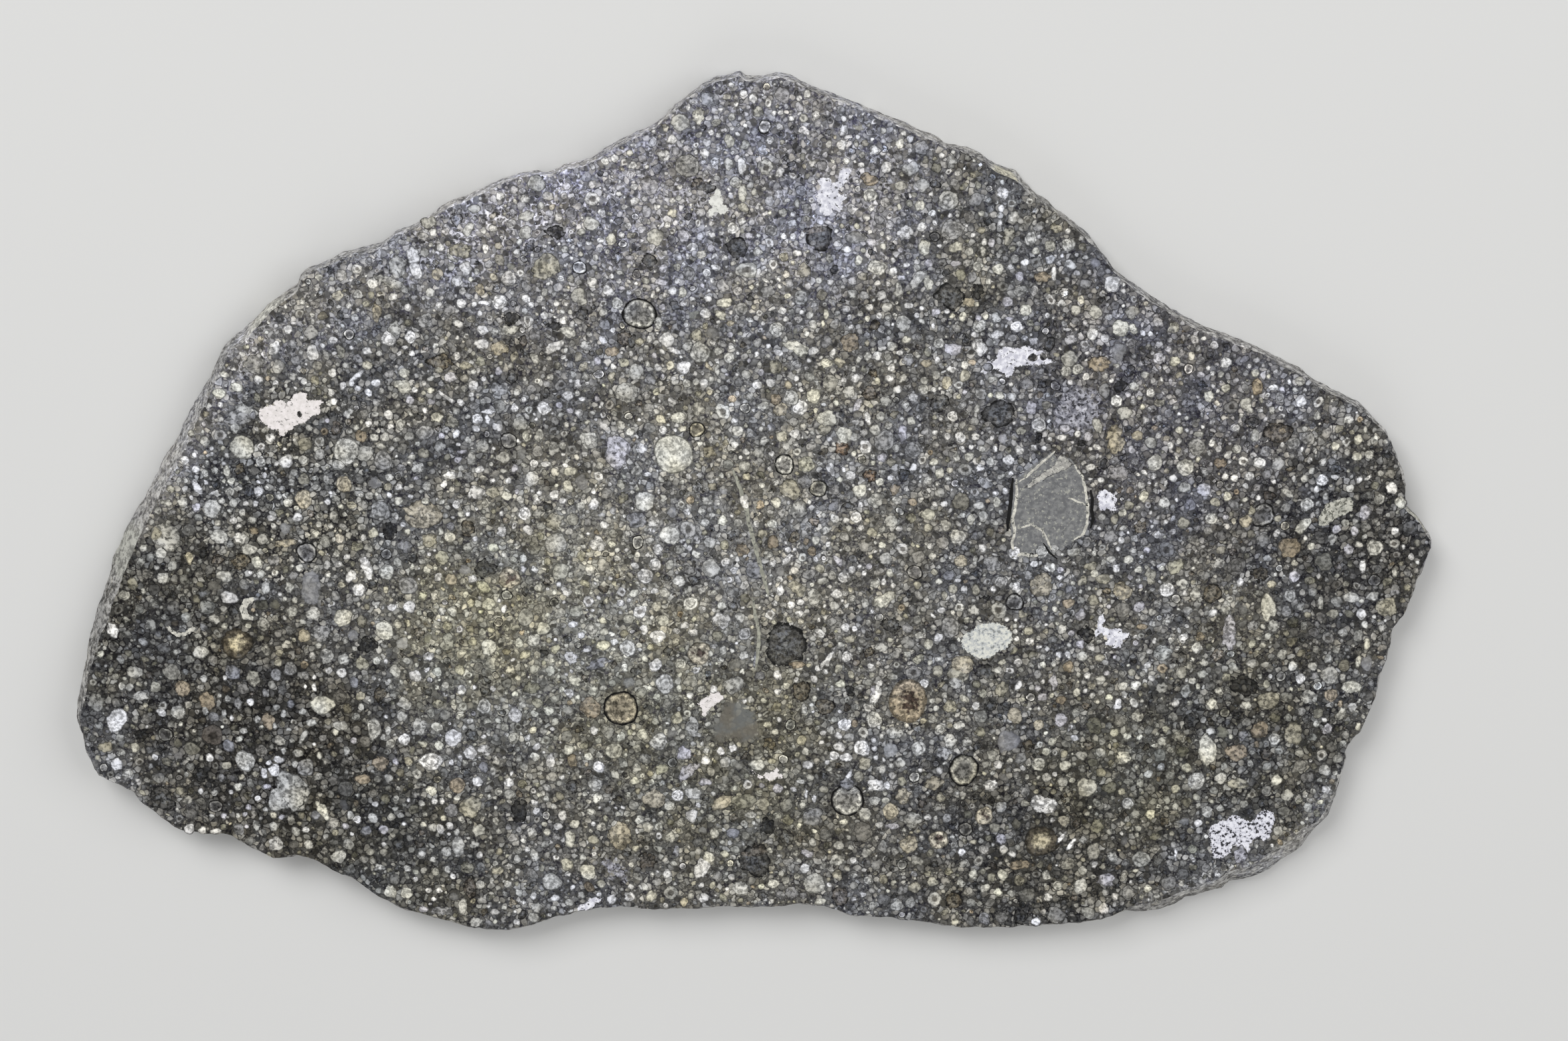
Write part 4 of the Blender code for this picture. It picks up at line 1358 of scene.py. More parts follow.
        (398, 648, 8), (288, 653, 10), (312, 697, 8), (456, 693, 14), (446, 689, 12, 6), (410, 712, 7),
        (443, 712, 12), (439, 727, 10, 14), (475, 733, 14, 10), (280, 724, 7), (269, 723, 8, 16),
        (334, 755, 12), (420, 748, 9), (527, 650, 9), (488, 572, 10, 8), (410, 587, 20, 7, 45),
        (430, 581, 6), (549, 683, 26, 24, 0, 0.12), (509, 700, 20, 14, 0, 0.12), (502, 777, 14),
        (543, 746, 9), (556, 746, 12), (338, 776, 9), (365, 772, 12), (253, 788, 10), (274, 782, 6),
        (480, 790, 10), (498, 793, 10), (544, 794, 16, 10), (412, 793, 10, 12), (1404, 838, 12),
        (1420, 843, 9), (1414, 854, 6), (1468, 844, 8, 16), (1564, 961, 9, 11), (1563, 942, 12, 8),
        (1610, 972, 8), (1662, 847, 10, 8), (1673, 842, 14, 12), (1706, 830, 12, 10),
        (1647, 833, 8, 10), (1616, 832, 20, 14, 0, 0.1), (1588, 827, 12), (1640, 886, 8),
        (1627, 891, 6), (1674, 868, 7), (1737, 940, 7, 10), (1503, 1010, 16, 11, 0, 0.1),
        (1657, 1024, 16, 14, 0, 0.1), (1624, 1016, 6, 10), (1602, 1020, 8), (1587, 1001, 10),
        (1570, 989, 10), (1553, 1002, 12, 8), (1657, 1043, 10), (1644, 1047, 10), (1404, 1056, 12, 10),
        (1422, 1047, 10), (1414, 993, 14, 8), (1549, 902, 6, 10),
    ),
    (Style.SPECKLED, "khaki"): (
        (694, 378, 34, 24, 0, 0.1), (822, 402, 44, 38, 0, 0.1), (1242, 646, 20), (1910, 1055, 34, 28),
        (1948, 1105, 26, 40), (240, 805, 28), (1470, 262, 20, 12), (1862, 1180, 36, 16),
        (1442, 1015, 34, 30), (1200, 886, 34, 18, -30, 0.12), (749, 1312, 18, 14), (1280, 962, 22, 12),
        (708, 1216, 34, 32, 0, 0.1), (2088, 915, 32, 30, 0, 0.1), (381, 1021, 22, 26, 0, 0.1),
        (742, 742, 22, 18, 0, 0.12), (835, 785, 28, 24, 0, 0.14), (1049, 505, 20, 18, 0, 0.1),
        (921, 569, 12, 24), (1733, 868, 18, 26, 0, 0.1), (1431, 1064, 20), (1509, 1038, 20, 24, 0, 0.1),
        (1519, 355, 20, 26, 0, 0.16), (1190, 737, 34, 28, 0, 0.14), (1167, 553, 20, 22, 0, 0.08),
    ),
    (Style.SPECKLED, "tan"): (
        (1280, 516, 28), (573, 1150, 24), (889, 1066, 32), (1942, 825, 32), (1570, 417, 26, 16),
        (1897, 1100, 26), (1862, 1133, 32, 28), (1535, 1303, 34, 15, 10, 0.1), (275, 1037, 24),
        (1309, 270, 26, 18, -20), (1168, 602, 16, 20), (1347, 737, 18), (1374, 756, 14),
        (1655, 548, 36, 22), (1930, 650, 16, 12),
    ),
    (Style.SPECKLED, "blue"): (
        (959, 784, 30, 26, 0, 0.12), (1137, 858, 30, 26, 0, 0.12), (1276, 1181, 20),
        (1212, 725, 22, 20), (2100, 890, 16), (1905, 680, 20, 16), (1634, 428, 20, 14),
        (1871, 1108, 16), (350, 1013, 24), (360, 1250, 18), (1482, 1383, 18, 22),
        (1192, 1345, 22, 18, 0, 0.12), (1175, 1348, 14), (1210, 1350, 12), (1018, 1280, 9, 24),
        (665, 1372, 44, 12, 0, 0.1), (900, 1000, 46, 14, 20, 0.1),
    ),
    (Style.SPECKLED, "lilac"): (
        (1507, 1263, 18), (1665, 1325, 28, 20, 0, 0.1), (578, 1250, 16), (1949, 868, 18),
        (2056, 772, 18, 26), (1851, 955, 22, 56, 0, 0.15), (1998, 1098, 16),
        (1868, 1288, 20, 27, 10, 0.1), (1715, 914, 20, 17, 0, 0.1), (1931, 587, 12), (2030, 828, 16),
        (1036, 1162, 40, 18, 35, 0.16), (929, 681, 42, 46, 0, 0.16),
    ),
    (Style.SMOOTH, "blue"): (
        (468, 885, 30, 54, 0, 0.05), (1685, 530, 20, 30), (2058, 1000, 16, 26),
        (1518, 1117, 34, 32, 0, 0.1),
    ),
    (Style.SHADY, "dark"): (
        (1234, 358, 40), (1110, 374, 34, 34, 0, 0.1), (948, 513, 22), (1067, 282, 20, 18),
        (1137, 1297, 48), (1415, 607, 34, 26, 20, 0.12), (244, 1203, 40, 36, 0, 0.12),
        (2012, 706, 24, 18), (862, 1185, 20), (1055, 281, 18, 16), (1343, 942, 30, 24, 0, 0.12),
        (375, 740, 30, 20, 0, 0.14), (978, 394, 22, 24, 0, 0.14), (1430, 447, 46, 38, 0, 0.16),
        (1483, 1013, 30, 26, 0, 0.16), (1504, 623, 48, 42, 20, 0.09), (1183, 972, 62, 68, 10, 0.07),
    ),
    (Style.SHADY, "brown"): (
        (1925, 652, 46, 34, 0, 0.12), (708, 1338, 20, 36), (1310, 592, 24, 24, 0, 0.1),
        (1053, 278, 26, 20), (1230, 348, 44, 16, 0, 0.1), (1265, 1350, 26, 30),
        (1137, 1287, 42, 32, 0, 0.16), (939, 510, 26, 22, 0, 0.16),
    ),
    (Style.SHADY, "rust"): (
        (1268, 674, 22, 30, 0, 0.12), (1310, 716, 22, 20, 0, 0.12),
    ),
    (Style.SMOOTH, "black"): (
        (1200, 223, 13, 17), (1555, 539, 13, 10), (1571, 537, 9, 11), (207, 1063, 9), (273, 853, 6),
        (451, 624, 6, 8),
    ),
    (Style.SMOOTH, "white"): (
        (2012, 719, 32, 6, -5),
    ),
    (Style.BLOTCHED, "buff"): (
        (1053, 984, 34), (767, 871, 34, 30, 0, 0.1), (1413, 1265, 28), (1482, 1229, 26),
    ),
    (Style.SPECKLED, "buff"): (
        (752, 525, 30, 20, 0, 0.1), (567, 470, 14, 32), (658, 413, 18), (722, 437, 15, 20),
        (637, 775, 56, 44, 0, 0.1), (985, 1203, 36, 28, 0, 0.1), (933, 1259, 36, 42, 5, 0.1),
        (1360, 1199, 24), (1368, 1272, 28), (1449, 1002, 34, 30), (1568, 881, 36, 36),
        (1678, 654, 24, 30), (1690, 890, 30, 26), (1407, 1180, 30, 20), (429, 818, 38, 12, 5),
        (1680, 667, 24, 38, 0, 0.12), (1876, 785, 20, 18), (1175, 616, 22, 24, 0, 0.1),
    ),
    (Style.PLAIN, "buff"): (
        (1087, 1209, 34, 18, 25, 0.1), (458, 958, 20), (1528, 1078, 24), (1564, 1092, 16),
        (679, 873, 18), (1712, 656, 18, 16), (1100, 487, 12, 10), (1187, 580, 12),
        (1066, 551, 20, 6, -50), (617, 772, 36, 9, -40, 0.14), (1460, 455, 20, 14, 0, 0.12),
        (1395, 547, 16, 12), (1447, 845, 18, 20, 0, 0.12),
    ),
    (Style.SHADY, "umber"): (
        (664, 545, 40, 26, 0, 0.14), (362, 846, 30, 25, 0, 0.1), (704, 796, 22, 26),
        (1242, 1064, 30, 26, 0, 0.1), (1436, 1357, 26), (1206, 1041, 30), (1825, 894, 30),
    ),
    (Style.SHADY, "black"): (
        (770, 480, 24, 22, 0, 0.14), (837, 350, 34, 18, 0, 0.14), (835, 492, 26, 16, 0, 0.14),
        (587, 800, 20, 30, 0, 0.12), (554, 971, 32, 24, 0, 0.12), (782, 1221, 24, 40, 0, 0.14),
        (597, 1246, 14), (1565, 660, 12, 16), (1629, 668, 14, 10), (1686, 581, 22, 22, 0, 0.14),
        (1156, 1245, 26, 22, 0, 0.16), (1257, 407, 15), (1471, 439, 20, 24, 0, 0.16),
        (1636, 955, 22, 26, 0, 0.16), (1483, 900, 16, 10), (1874, 1033, 48, 30, -15, 0.12),
    ),
    (Style.RINGED, "white"): (
        (752, 455, 22), (585, 510, 22), (618, 508, 18), (819, 615, 20), (1272, 1091, 20),
        (1298, 1127, 24), (1757, 888, 22), (1093, 847, 14), (1275, 989, 16), (1391, 1030, 14),
        (902, 1155, 18), (649, 1147, 36, 26), (1434, 627, 16), (1681, 604, 18), (1733, 591, 14),
        (1896, 697, 20, 16), (1990, 723, 20, 16), (1020, 1198, 18), (1256, 1138, 14), (609, 1114, 18),
        (538, 1234, 12), (804, 698, 12), (687, 760, 12), (790, 774, 18, 22), (719, 631, 16),
        (1103, 344, 18), (1204, 613, 24), (1528, 833, 18, 20), (1533, 998, 12), (1531, 492, 20, 16),
    ),
    (Style.RINGED, "buff"): (
        (457, 752, 26), (518, 729, 24), (1341, 1222, 24),
    ),
    (Style.OUTLINED, "grey"): (
        (1901, 776, 36), (462, 832, 30), (1528, 907, 26), (766, 664, 26, 24),
    ),
    (Style.SPECKLED, "white"): (
        (717, 742, 26, 22, 0, 0.12), (1571, 1212, 40, 28, 0, 0.14), (1492, 1183, 22, 18, 0, 0.12),
        (1319, 1183, 24, 20, 0, 0.14),
    ),
    (Style.SPECKLED, "pale"): (
        (598, 402, 30, 34, 0, 0.1), (592, 427, 58, 17, -22, 0.1), (594, 495, 20, 24),
        (765, 497, 34, 17, 10, 0.12), (250, 808, 46, 42, 0, 0.1), (727, 671, 20), (492, 988, 20, 26),
        (517, 992, 18), (1043, 1094, 22, 30), (1347, 1104, 26, 18), (1374, 1235, 28, 24),
        (1780, 879, 18), (1800, 894, 18), (1439, 1028, 20), (1456, 1117, 16), (492, 725, 10, 30),
        (628, 1166, 16), (571, 1307, 20, 10), (808, 1367, 18, 16), (1225, 899, 24),
        (440, 1192, 54, 56, 0, 0.16), (632, 1095, 20, 30, 0, 0.14), (834, 676, 18, 22, 0, 0.12),
        (629, 704, 18, 22, 0, 0.12), (1035, 521, 16), (944, 591, 34, 34, 0, 0.06),
        (1105, 1032, 32, 26, 0, 0.1),
    ),
    (Style.PLAIN, "khaki"): (
        (1700, 761, 14), (1678, 782, 12, 16), (1885, 770, 12, 14), (1924, 781, 12, 10),
        (1830, 756, 16, 14), (1782, 788, 18), (1240, 1189, 14, 12), (1302, 1150, 20, 18, 0, 0.1),
        (1293, 1170, 16), (360, 1082, 9, 12), (341, 1153, 16, 12), (661, 556, 14),
        (700, 551, 22, 12, 0, 0.1), (638, 683, 18, 16, 0, 0.1), (862, 783, 18), (1180, 387, 14),
        (963, 515, 16, 12), (1267, 340, 8), (1661, 872, 22, 16, 0, 0.12), (1642, 853, 22, 12, 0, 0.1),
        (1704, 1013, 12), (1657, 991, 16, 12), (1469, 889, 14, 16), (1422, 897, 10, 16),
        (1412, 1011, 16, 18), (457, 722, 18), (459, 669, 22, 20, 0, 0.08),
    ),
    (Style.SMOOTH, "grey"): (
        (2100, 888, 16, 14), (700, 858, 20, 14),
    ),
    (Style.PLAIN, "lilac"): (
        (1318, 1048, 14, 34, 0, 0.1), (1597, 1084, 20), (1344, 1244, 22, 10), (1309, 853, 10),
        (638, 1369, 16, 10), (1261, 844, 10, 26, 40, 0.1), (2040, 800, 12, 14), (2012, 797, 14),
        (1453, 590, 9), (1553, 614, 18, 22, 0, 0.12), (1639, 657, 14), (1603, 645, 18, 12),
        (1699, 595, 10), (1845, 779, 10, 8), (1763, 574, 9, 12), (1030, 1135, 20, 22, 0, 0.12),
        (1147, 1183, 9), (1171, 1188, 16, 14), (1216, 1286, 20, 11, -30, 0.12),
        (1062, 1178, 20, 12, 0, 0.12), (533, 1116, 10), (402, 1185, 12, 8), (521, 1244, 10),
        (371, 1245, 8), (369, 1226, 9, 7), (374, 1216, 9), (337, 1229, 9, 12), (424, 1230, 9),
        (596, 1147, 8, 14), (678, 568, 24, 14, 0, 0.12), (751, 559, 12), (617, 602, 12, 14),
        (649, 605, 11), (858, 618, 12, 10), (842, 610, 10), (899, 601, 10), (665, 656, 10),
        (696, 681, 14, 8), (690, 692, 12, 11), (775, 706, 11, 14), (778, 740, 9), (626, 720, 12, 7),
        (948, 389, 16, 9), (936, 434, 14, 7), (996, 425, 22, 10, 0, 0.14), (999, 404, 14),
        (1029, 355, 16, 24, 0, 0.12), (1058, 431, 9), (1016, 480, 7), (1071, 374, 12),
        (1128, 355, 14, 10), (1128, 544, 7), (1099, 504, 9), (997, 462, 12), (998, 566, 9),
        (985, 536, 9), (899, 544, 12, 14), (1146, 561, 10), (1094, 564, 7), (1312, 365, 14),
        (1356, 377, 9), (1398, 396, 13), (1493, 365, 12, 14, 0, 0.14), (1439, 397, 16, 10),
        (1535, 416, 13, 14), (1517, 454, 16), (1409, 470, 16, 12, 0, 0.12), (1473, 479, 10),
        (1519, 480, 18, 6), (1435, 526, 28, 20, 0, 0.16), (307, 639, 8), (296, 765, 14, 14, 0, 0.1),
        (492, 634, 8), (1597, 858, 11, 10), (1627, 926, 16, 18, 0, 0.12), (1626, 970, 14, 14, 0, 0.1),
        (1613, 953, 9), (1727, 829, 12, 8), (1702, 869, 9), (1669, 913, 8), (1717, 884, 8),
        (1710, 969, 8), (1586, 1026, 14, 24, 0, 0.16), (1563, 1037, 12), (1570, 1050, 16, 12, 0, 0.14),
        (1667, 1014, 10), (1678, 990, 10, 6), (1359, 653, 14, 28, 0, 0.16), (1328, 689, 14),
        (1291, 610, 10, 28, -30, 0.14),
    ),
    (Style.PLAIN, "blue"): (
        (1366, 946, 16), (1143, 1018, 18, 12, 0, 0.1), (728, 1156, 14, 18), (766, 1246, 10),
        (1137, 994, 6, 30), (680, 1221, 20, 20, 0, 0.1), (1663, 588, 16, 24, 0, 0.1),
        (1775, 591, 12, 14), (1858, 760, 14), (1875, 584, 12), (1103, 1255, 20, 16, 0, 0.1),
        (533, 1028, 14, 20), (344, 1123, 18), (476, 1228, 14), (437, 1060, 12), (551, 1251, 18, 14),
        (911, 489, 18, 16, 0, 0.12), (1156, 439, 22, 18, 0, 0.12), (678, 792, 14),
        (1245, 515, 16, 22, 0, 0.1), (1464, 417, 16), (1487, 553, 16, 12), (381, 626, 10, 12),
        (1609, 888, 12), (1429, 867, 16), (1504, 901, 12, 8),
    ),
    (Style.PLAIN, "tan"): (
        (1164, 817, 18, 20), (1214, 815, 10), (1200, 1001, 22, 12), (1287, 1089, 10, 12),
        (404, 1086, 20, 24, 0, 0.12), (312, 1056, 24, 28, 0, 0.12), (546, 1174, 24, 16, 0, 0.14),
        (921, 530, 22, 14, 0, 0.12), (1609, 909, 18, 16, 0, 0.12), (1720, 944, 16, 10),
        (1598, 1054, 16, 14, 0, 0.1), (1609, 1004, 16, 18, 0, 0.12),
    ),
    (Style.SPECKLED, "grey"): (
        (383, 548, 26, 34, 0, 0.16), (360, 628, 44, 28, 20, 0.16), (1218, 866, 22, 16, 0, 0.1),
        (1224, 1231, 32, 26, 0, 0.14), (1494, 848, 26, 24, 0, 0.1),
    ),
    (Style.OUTLINED, "buff"): (
        (935, 1067, 52, 52, 0, 0.05),
    ),
    (Style.PLAIN, "grey"): (
        (416, 1016, 18), (460, 1017, 12), (358, 1060, 12, 18), (323, 1080, 18, 14), (400, 1044, 10, 12),
        (334, 1171, 10, 14), (1289, 358, 30, 20, 0, 0.16), (1548, 867, 14), (1562, 1016, 12, 14),
    ),
    (Style.SPECKLED, "olive"): (
        (1120, 1207, 36, 24, 0, 0.16),
    ),
    (Style.PLAIN, "olive"): (
        (1447, 414, 16, 18, 0, 0.12),
    ),
}

@dataclass(frozen=True)
class PatchFinish:
    """The finish of an inclusion: two tones in clouds, flecks, and an edge frayed into the ground."""

    tone: Colour
    second: Colour
    fleck: Colour = (0.08, 0.08, 0.08)
    fleck_share: float = 0.12
    cloud_mm: float = 0.5
    frayed_mm: float = 0.35
    fray_size_mm: float = 0.22
    see_through: float = 0.0
    soft_mm: float = 0.08
    roughness: float = 0.42
    fleck_mm: float = 0.3
    grit_mm: float = 0.22
    grit_relief_mm: float = 0.006
    stand_mm: float = 0.004
    grit_roughness: float = 0.1

    def build(self, name: str) -> bpy.types.Material:
        """Return the material."""
        board = Board(name)
        place = board.place_mm()
        inward = board.attribute("inward", "Fac")
        ground, ground_relief = GROUND.paint(board, place, True)
        grit = board.noise(board.shifted(place, (9.0, 4.0, 0.0)), self.grit_mm, 2.0, 0.7)
        clouds = board.noise(place, self.cloud_mm, 3.0, 0.6)
        colour = board.mixed(board.step(clouds, 0.36, 0.62), self.tone, self.second)
        flecks = board.noise(place, self.fleck_mm, 2.0, 0.6)
        flecks = board.step(flecks, 0.70 - self.fleck_share, 0.76 - self.fleck_share)
        colour = board.mixed(flecks, colour, self.fleck)
        colour = board.mixed(self.see_through, colour, ground)
        ragged = board.noise(board.shifted(place, (1.0, 3.0, 0.0)), self.fray_size_mm, 2.0, 0.7) - 0.5
        inside = board.step(inward + ragged * (2.0 * self.frayed_mm), 0.02, 0.02 + self.soft_mm)
        colour = board.mixed(inside, ground, colour)
        rough = grit * self.grit_roughness + self.roughness
        relief = ground_relief * (1.0 - inside) + inside * (grit * self.grit_relief_mm + self.stand_mm)
        return board.finish(colour, rough, relief)


@dataclass(frozen=True)
class Patch:
    """An inclusion whose corners are pixels of the photograph.

    Its drop is how far its top lies below the grains' tops, as a share of their relief, so that a patch
    with a smaller one lies over another. Its inset is added to the distance from its edge, which keeps a
    narrow one from fraying away.
    """

    name: str
    finish: PatchFinish
    corners: tuple[tuple[float, float], ...]
    spacing_mm: float = 0.16
    rough_mm: float = 0.07
    drop: float = 0.5
    inset_mm: float = 0.0
    slot: str = "inclusions"
    wave_mm: float = 0.45
    ripple_mm: float = 0.2
    grid_mm: float = 0.25
    disc_mm: float = 0.16

    def outline(self) -> list[Vector]:
        """Return evenly spaced points of the outline, a little rough, in metres."""
        corners = [VIEW.on_face(px, py) for px, py in self.corners]
        points = []
        for start, end in zip(corners, corners[1:] + corners[:1]):
            steps = max(1, round((end - start).length / (self.spacing_mm * MM)))
            for step in range(steps):
                point = start.lerp(end, step / steps)
                shift = noise.noise_vector(point / (self.wave_mm * MM))
                shift += 0.5 * noise.noise_vector(point / (self.ripple_mm * MM))
                rough = Vector((shift.x, shift.y, 0.0)) * self.rough_mm * MM
                points.append(Vector((point.x, point.y, 0.0)) + rough)
        return points

    def build(self, bed: FaceBed) -> bpy.types.Object:
        """Return the inclusion as a thin closed inlay, and take up its place in the bed."""
        points = self.outline()
        inlay = bmesh.new()
        ring = bmesh.ops.create_circle(inlay, cap_ends=True, segments=len(points), radius=1.0)["verts"]
        for vertex, point in zip(ring, points):
            vertex.co = point
        inlay.normal_update()
        bmesh.ops.triangulate(inlay, faces=inlay.faces[:], ngon_method="BEAUTY")
        longest = 2.5 * self.spacing_mm * MM
        for _ in range(2):
            inner = [e for e in inlay.edges if not e.is_boundary and e.calc_length() > longest]
            bmesh.ops.subdivide_edges(inlay, edges=inner, cuts=1)
            bmesh.ops.triangulate(inlay, faces=[f for f in inlay.faces if len(f.verts) > 3])
        near = kdtree.KDTree(len(points))
        for number, point in enumerate(points):
            near.insert(point, number)
        near.balance()
        raised = bmesh.ops.extrude_face_region(inlay, geom=inlay.faces[:], use_keep_orig=True)
        upper = {item for item in raised["geom"] if isinstance(item, bmesh.types.BMVert)}
        inward = [near.find(vertex.co)[2] / MM + self.inset_mm for vertex in inlay.verts]
        for vertex in inlay.verts:
            vertex.co.z = FACE_Z - (self.drop * GRAIN_RELIEF if vertex in upper else ROOT_DEPTH)
        bmesh.ops.recalc_face_normals(inlay, faces=inlay.faces[:])
        mesh = bpy.data.meshes.new(self.name)
        inlay.to_mesh(mesh)
        inlay.free()
        mesh.attributes.new("inward", "FLOAT", "POINT").data.foreach_set("value", inward)
        mesh.materials.append(self.finish.build(self.name))
        self.take_place(bed, points)
        piece = bpy.data.objects.new(self.name, mesh)
        bpy.context.scene.collection.objects.link(piece)
        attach(piece, BODY)
        return piece

    def take_place(self, bed: FaceBed, points: Sequence[Vector]) -> None:
        """Cover the inclusion's area in the bed with small discs."""
        outline = np.array([(point.x / MM, point.y / MM) for point in points])
        low, high = outline.min(axis=0), outline.max(axis=0)
        columns, rows = (np.arange(low[axis], high[axis], self.grid_mm) for axis in (0, 1))
        across, up = np.meshgrid(columns, rows)
        grid = np.column_stack([across.ravel(), up.ravel()])
        for x, y in grid[bed.inside(grid, outline)]:
            bed.lay(float(x), float(y), self.disc_mm)


@dataclass(frozen=True)
class Line(Patch):
    """A narrow inclusion that lies over others; its corners come from stroke."""

    drop: float = 0.25
    inset_mm: float = 0.13


def stroke(width: float, *points: tuple[float, float]) -> tuple[tuple[float, float], ...]:
    """Return the corners of a line drawn through points of the photograph, thinner at its ends."""
    left, right = [], []
    last = len(points) - 1
    for number, (x, y) in enumerate(points):
        before, after = Vector(points[max(number - 1, 0)]), Vector(points[min(number + 1, last)])
        along = (after - before).normalized()
        half = width / 2 if 0 < number < last else width / 4
        left.append((x - along.y * half, y + along.x * half))
        right.append((x + along.y * half, y - along.x * half))
    return (*left, *reversed(right))


CHALK = PatchFinish((0.86, 0.81, 0.80), (0.74, 0.70, 0.68), (0.40, 0.38, 0.37), 0.09, 0.4, 0.34)
RIDDLED = PatchFinish((0.82, 0.82, 0.88), (0.50, 0.50, 0.57), (0.04, 0.04, 0.045), 0.15, 0.3, 0.34)
CREAM_CHALK = PatchFinish((0.80, 0.80, 0.75), (0.64, 0.64, 0.60), (0.38, 0.38, 0.36), 0.09, 0.4, 0.34)
FLUFF = PatchFinish((0.88, 0.88, 0.93), (0.56, 0.56, 0.63), (0.12, 0.12, 0.13), 0.10, 0.4, 0.34)
HAZE = PatchFinish(
    (0.84, 0.84, 0.94), (0.20, 0.20, 0.24), (0.04, 0.04, 0.05), 0.18, 0.5, 1.8, 0.8, 0.5, 0.6)
MOTTLED = PatchFinish((0.74, 0.74, 0.67), (0.46, 0.48, 0.49), (0.26, 0.27, 0.26), 0.10, 0.3, 0.3)
OLIVE_CLAST = PatchFinish(
    (0.155, 0.16, 0.155), (0.15, 0.138, 0.115), (0.10, 0.10, 0.09), 0.02, 2.2, 0.9, 0.5, 0.12, 0.7)
GREY_CLAST = PatchFinish(
    (0.25, 0.252, 0.25), (0.15, 0.152, 0.158), (0.38, 0.38, 0.34), 0.10, 0.5, 0.1, 0.22, 0.08)
PALE_CLAST = PatchFinish((0.58, 0.57, 0.50), (0.34, 0.34, 0.30), (0.14, 0.14, 0.12), 0.17, 0.4, 0.3)
FACET = PatchFinish((0.56, 0.55, 0.50), (0.34, 0.33, 0.31), (0.18, 0.18, 0.17), 0.12, 0.4, 0.2)
CREAM_LINE = PatchFinish((0.72, 0.70, 0.62), (0.42, 0.41, 0.37), (0.14, 0.14, 0.13), 0.12, 0.5, 0.18)
VEIN = PatchFinish((0.40, 0.40, 0.33), (0.26, 0.26, 0.22), (0.12, 0.12, 0.11), 0.10, 0.6, 0.16)
CRACK = PatchFinish((0.012, 0.012, 0.012), (0.016, 0.016, 0.016), (0.01, 0.01, 0.01), 0.0, 0.5, 0.02)

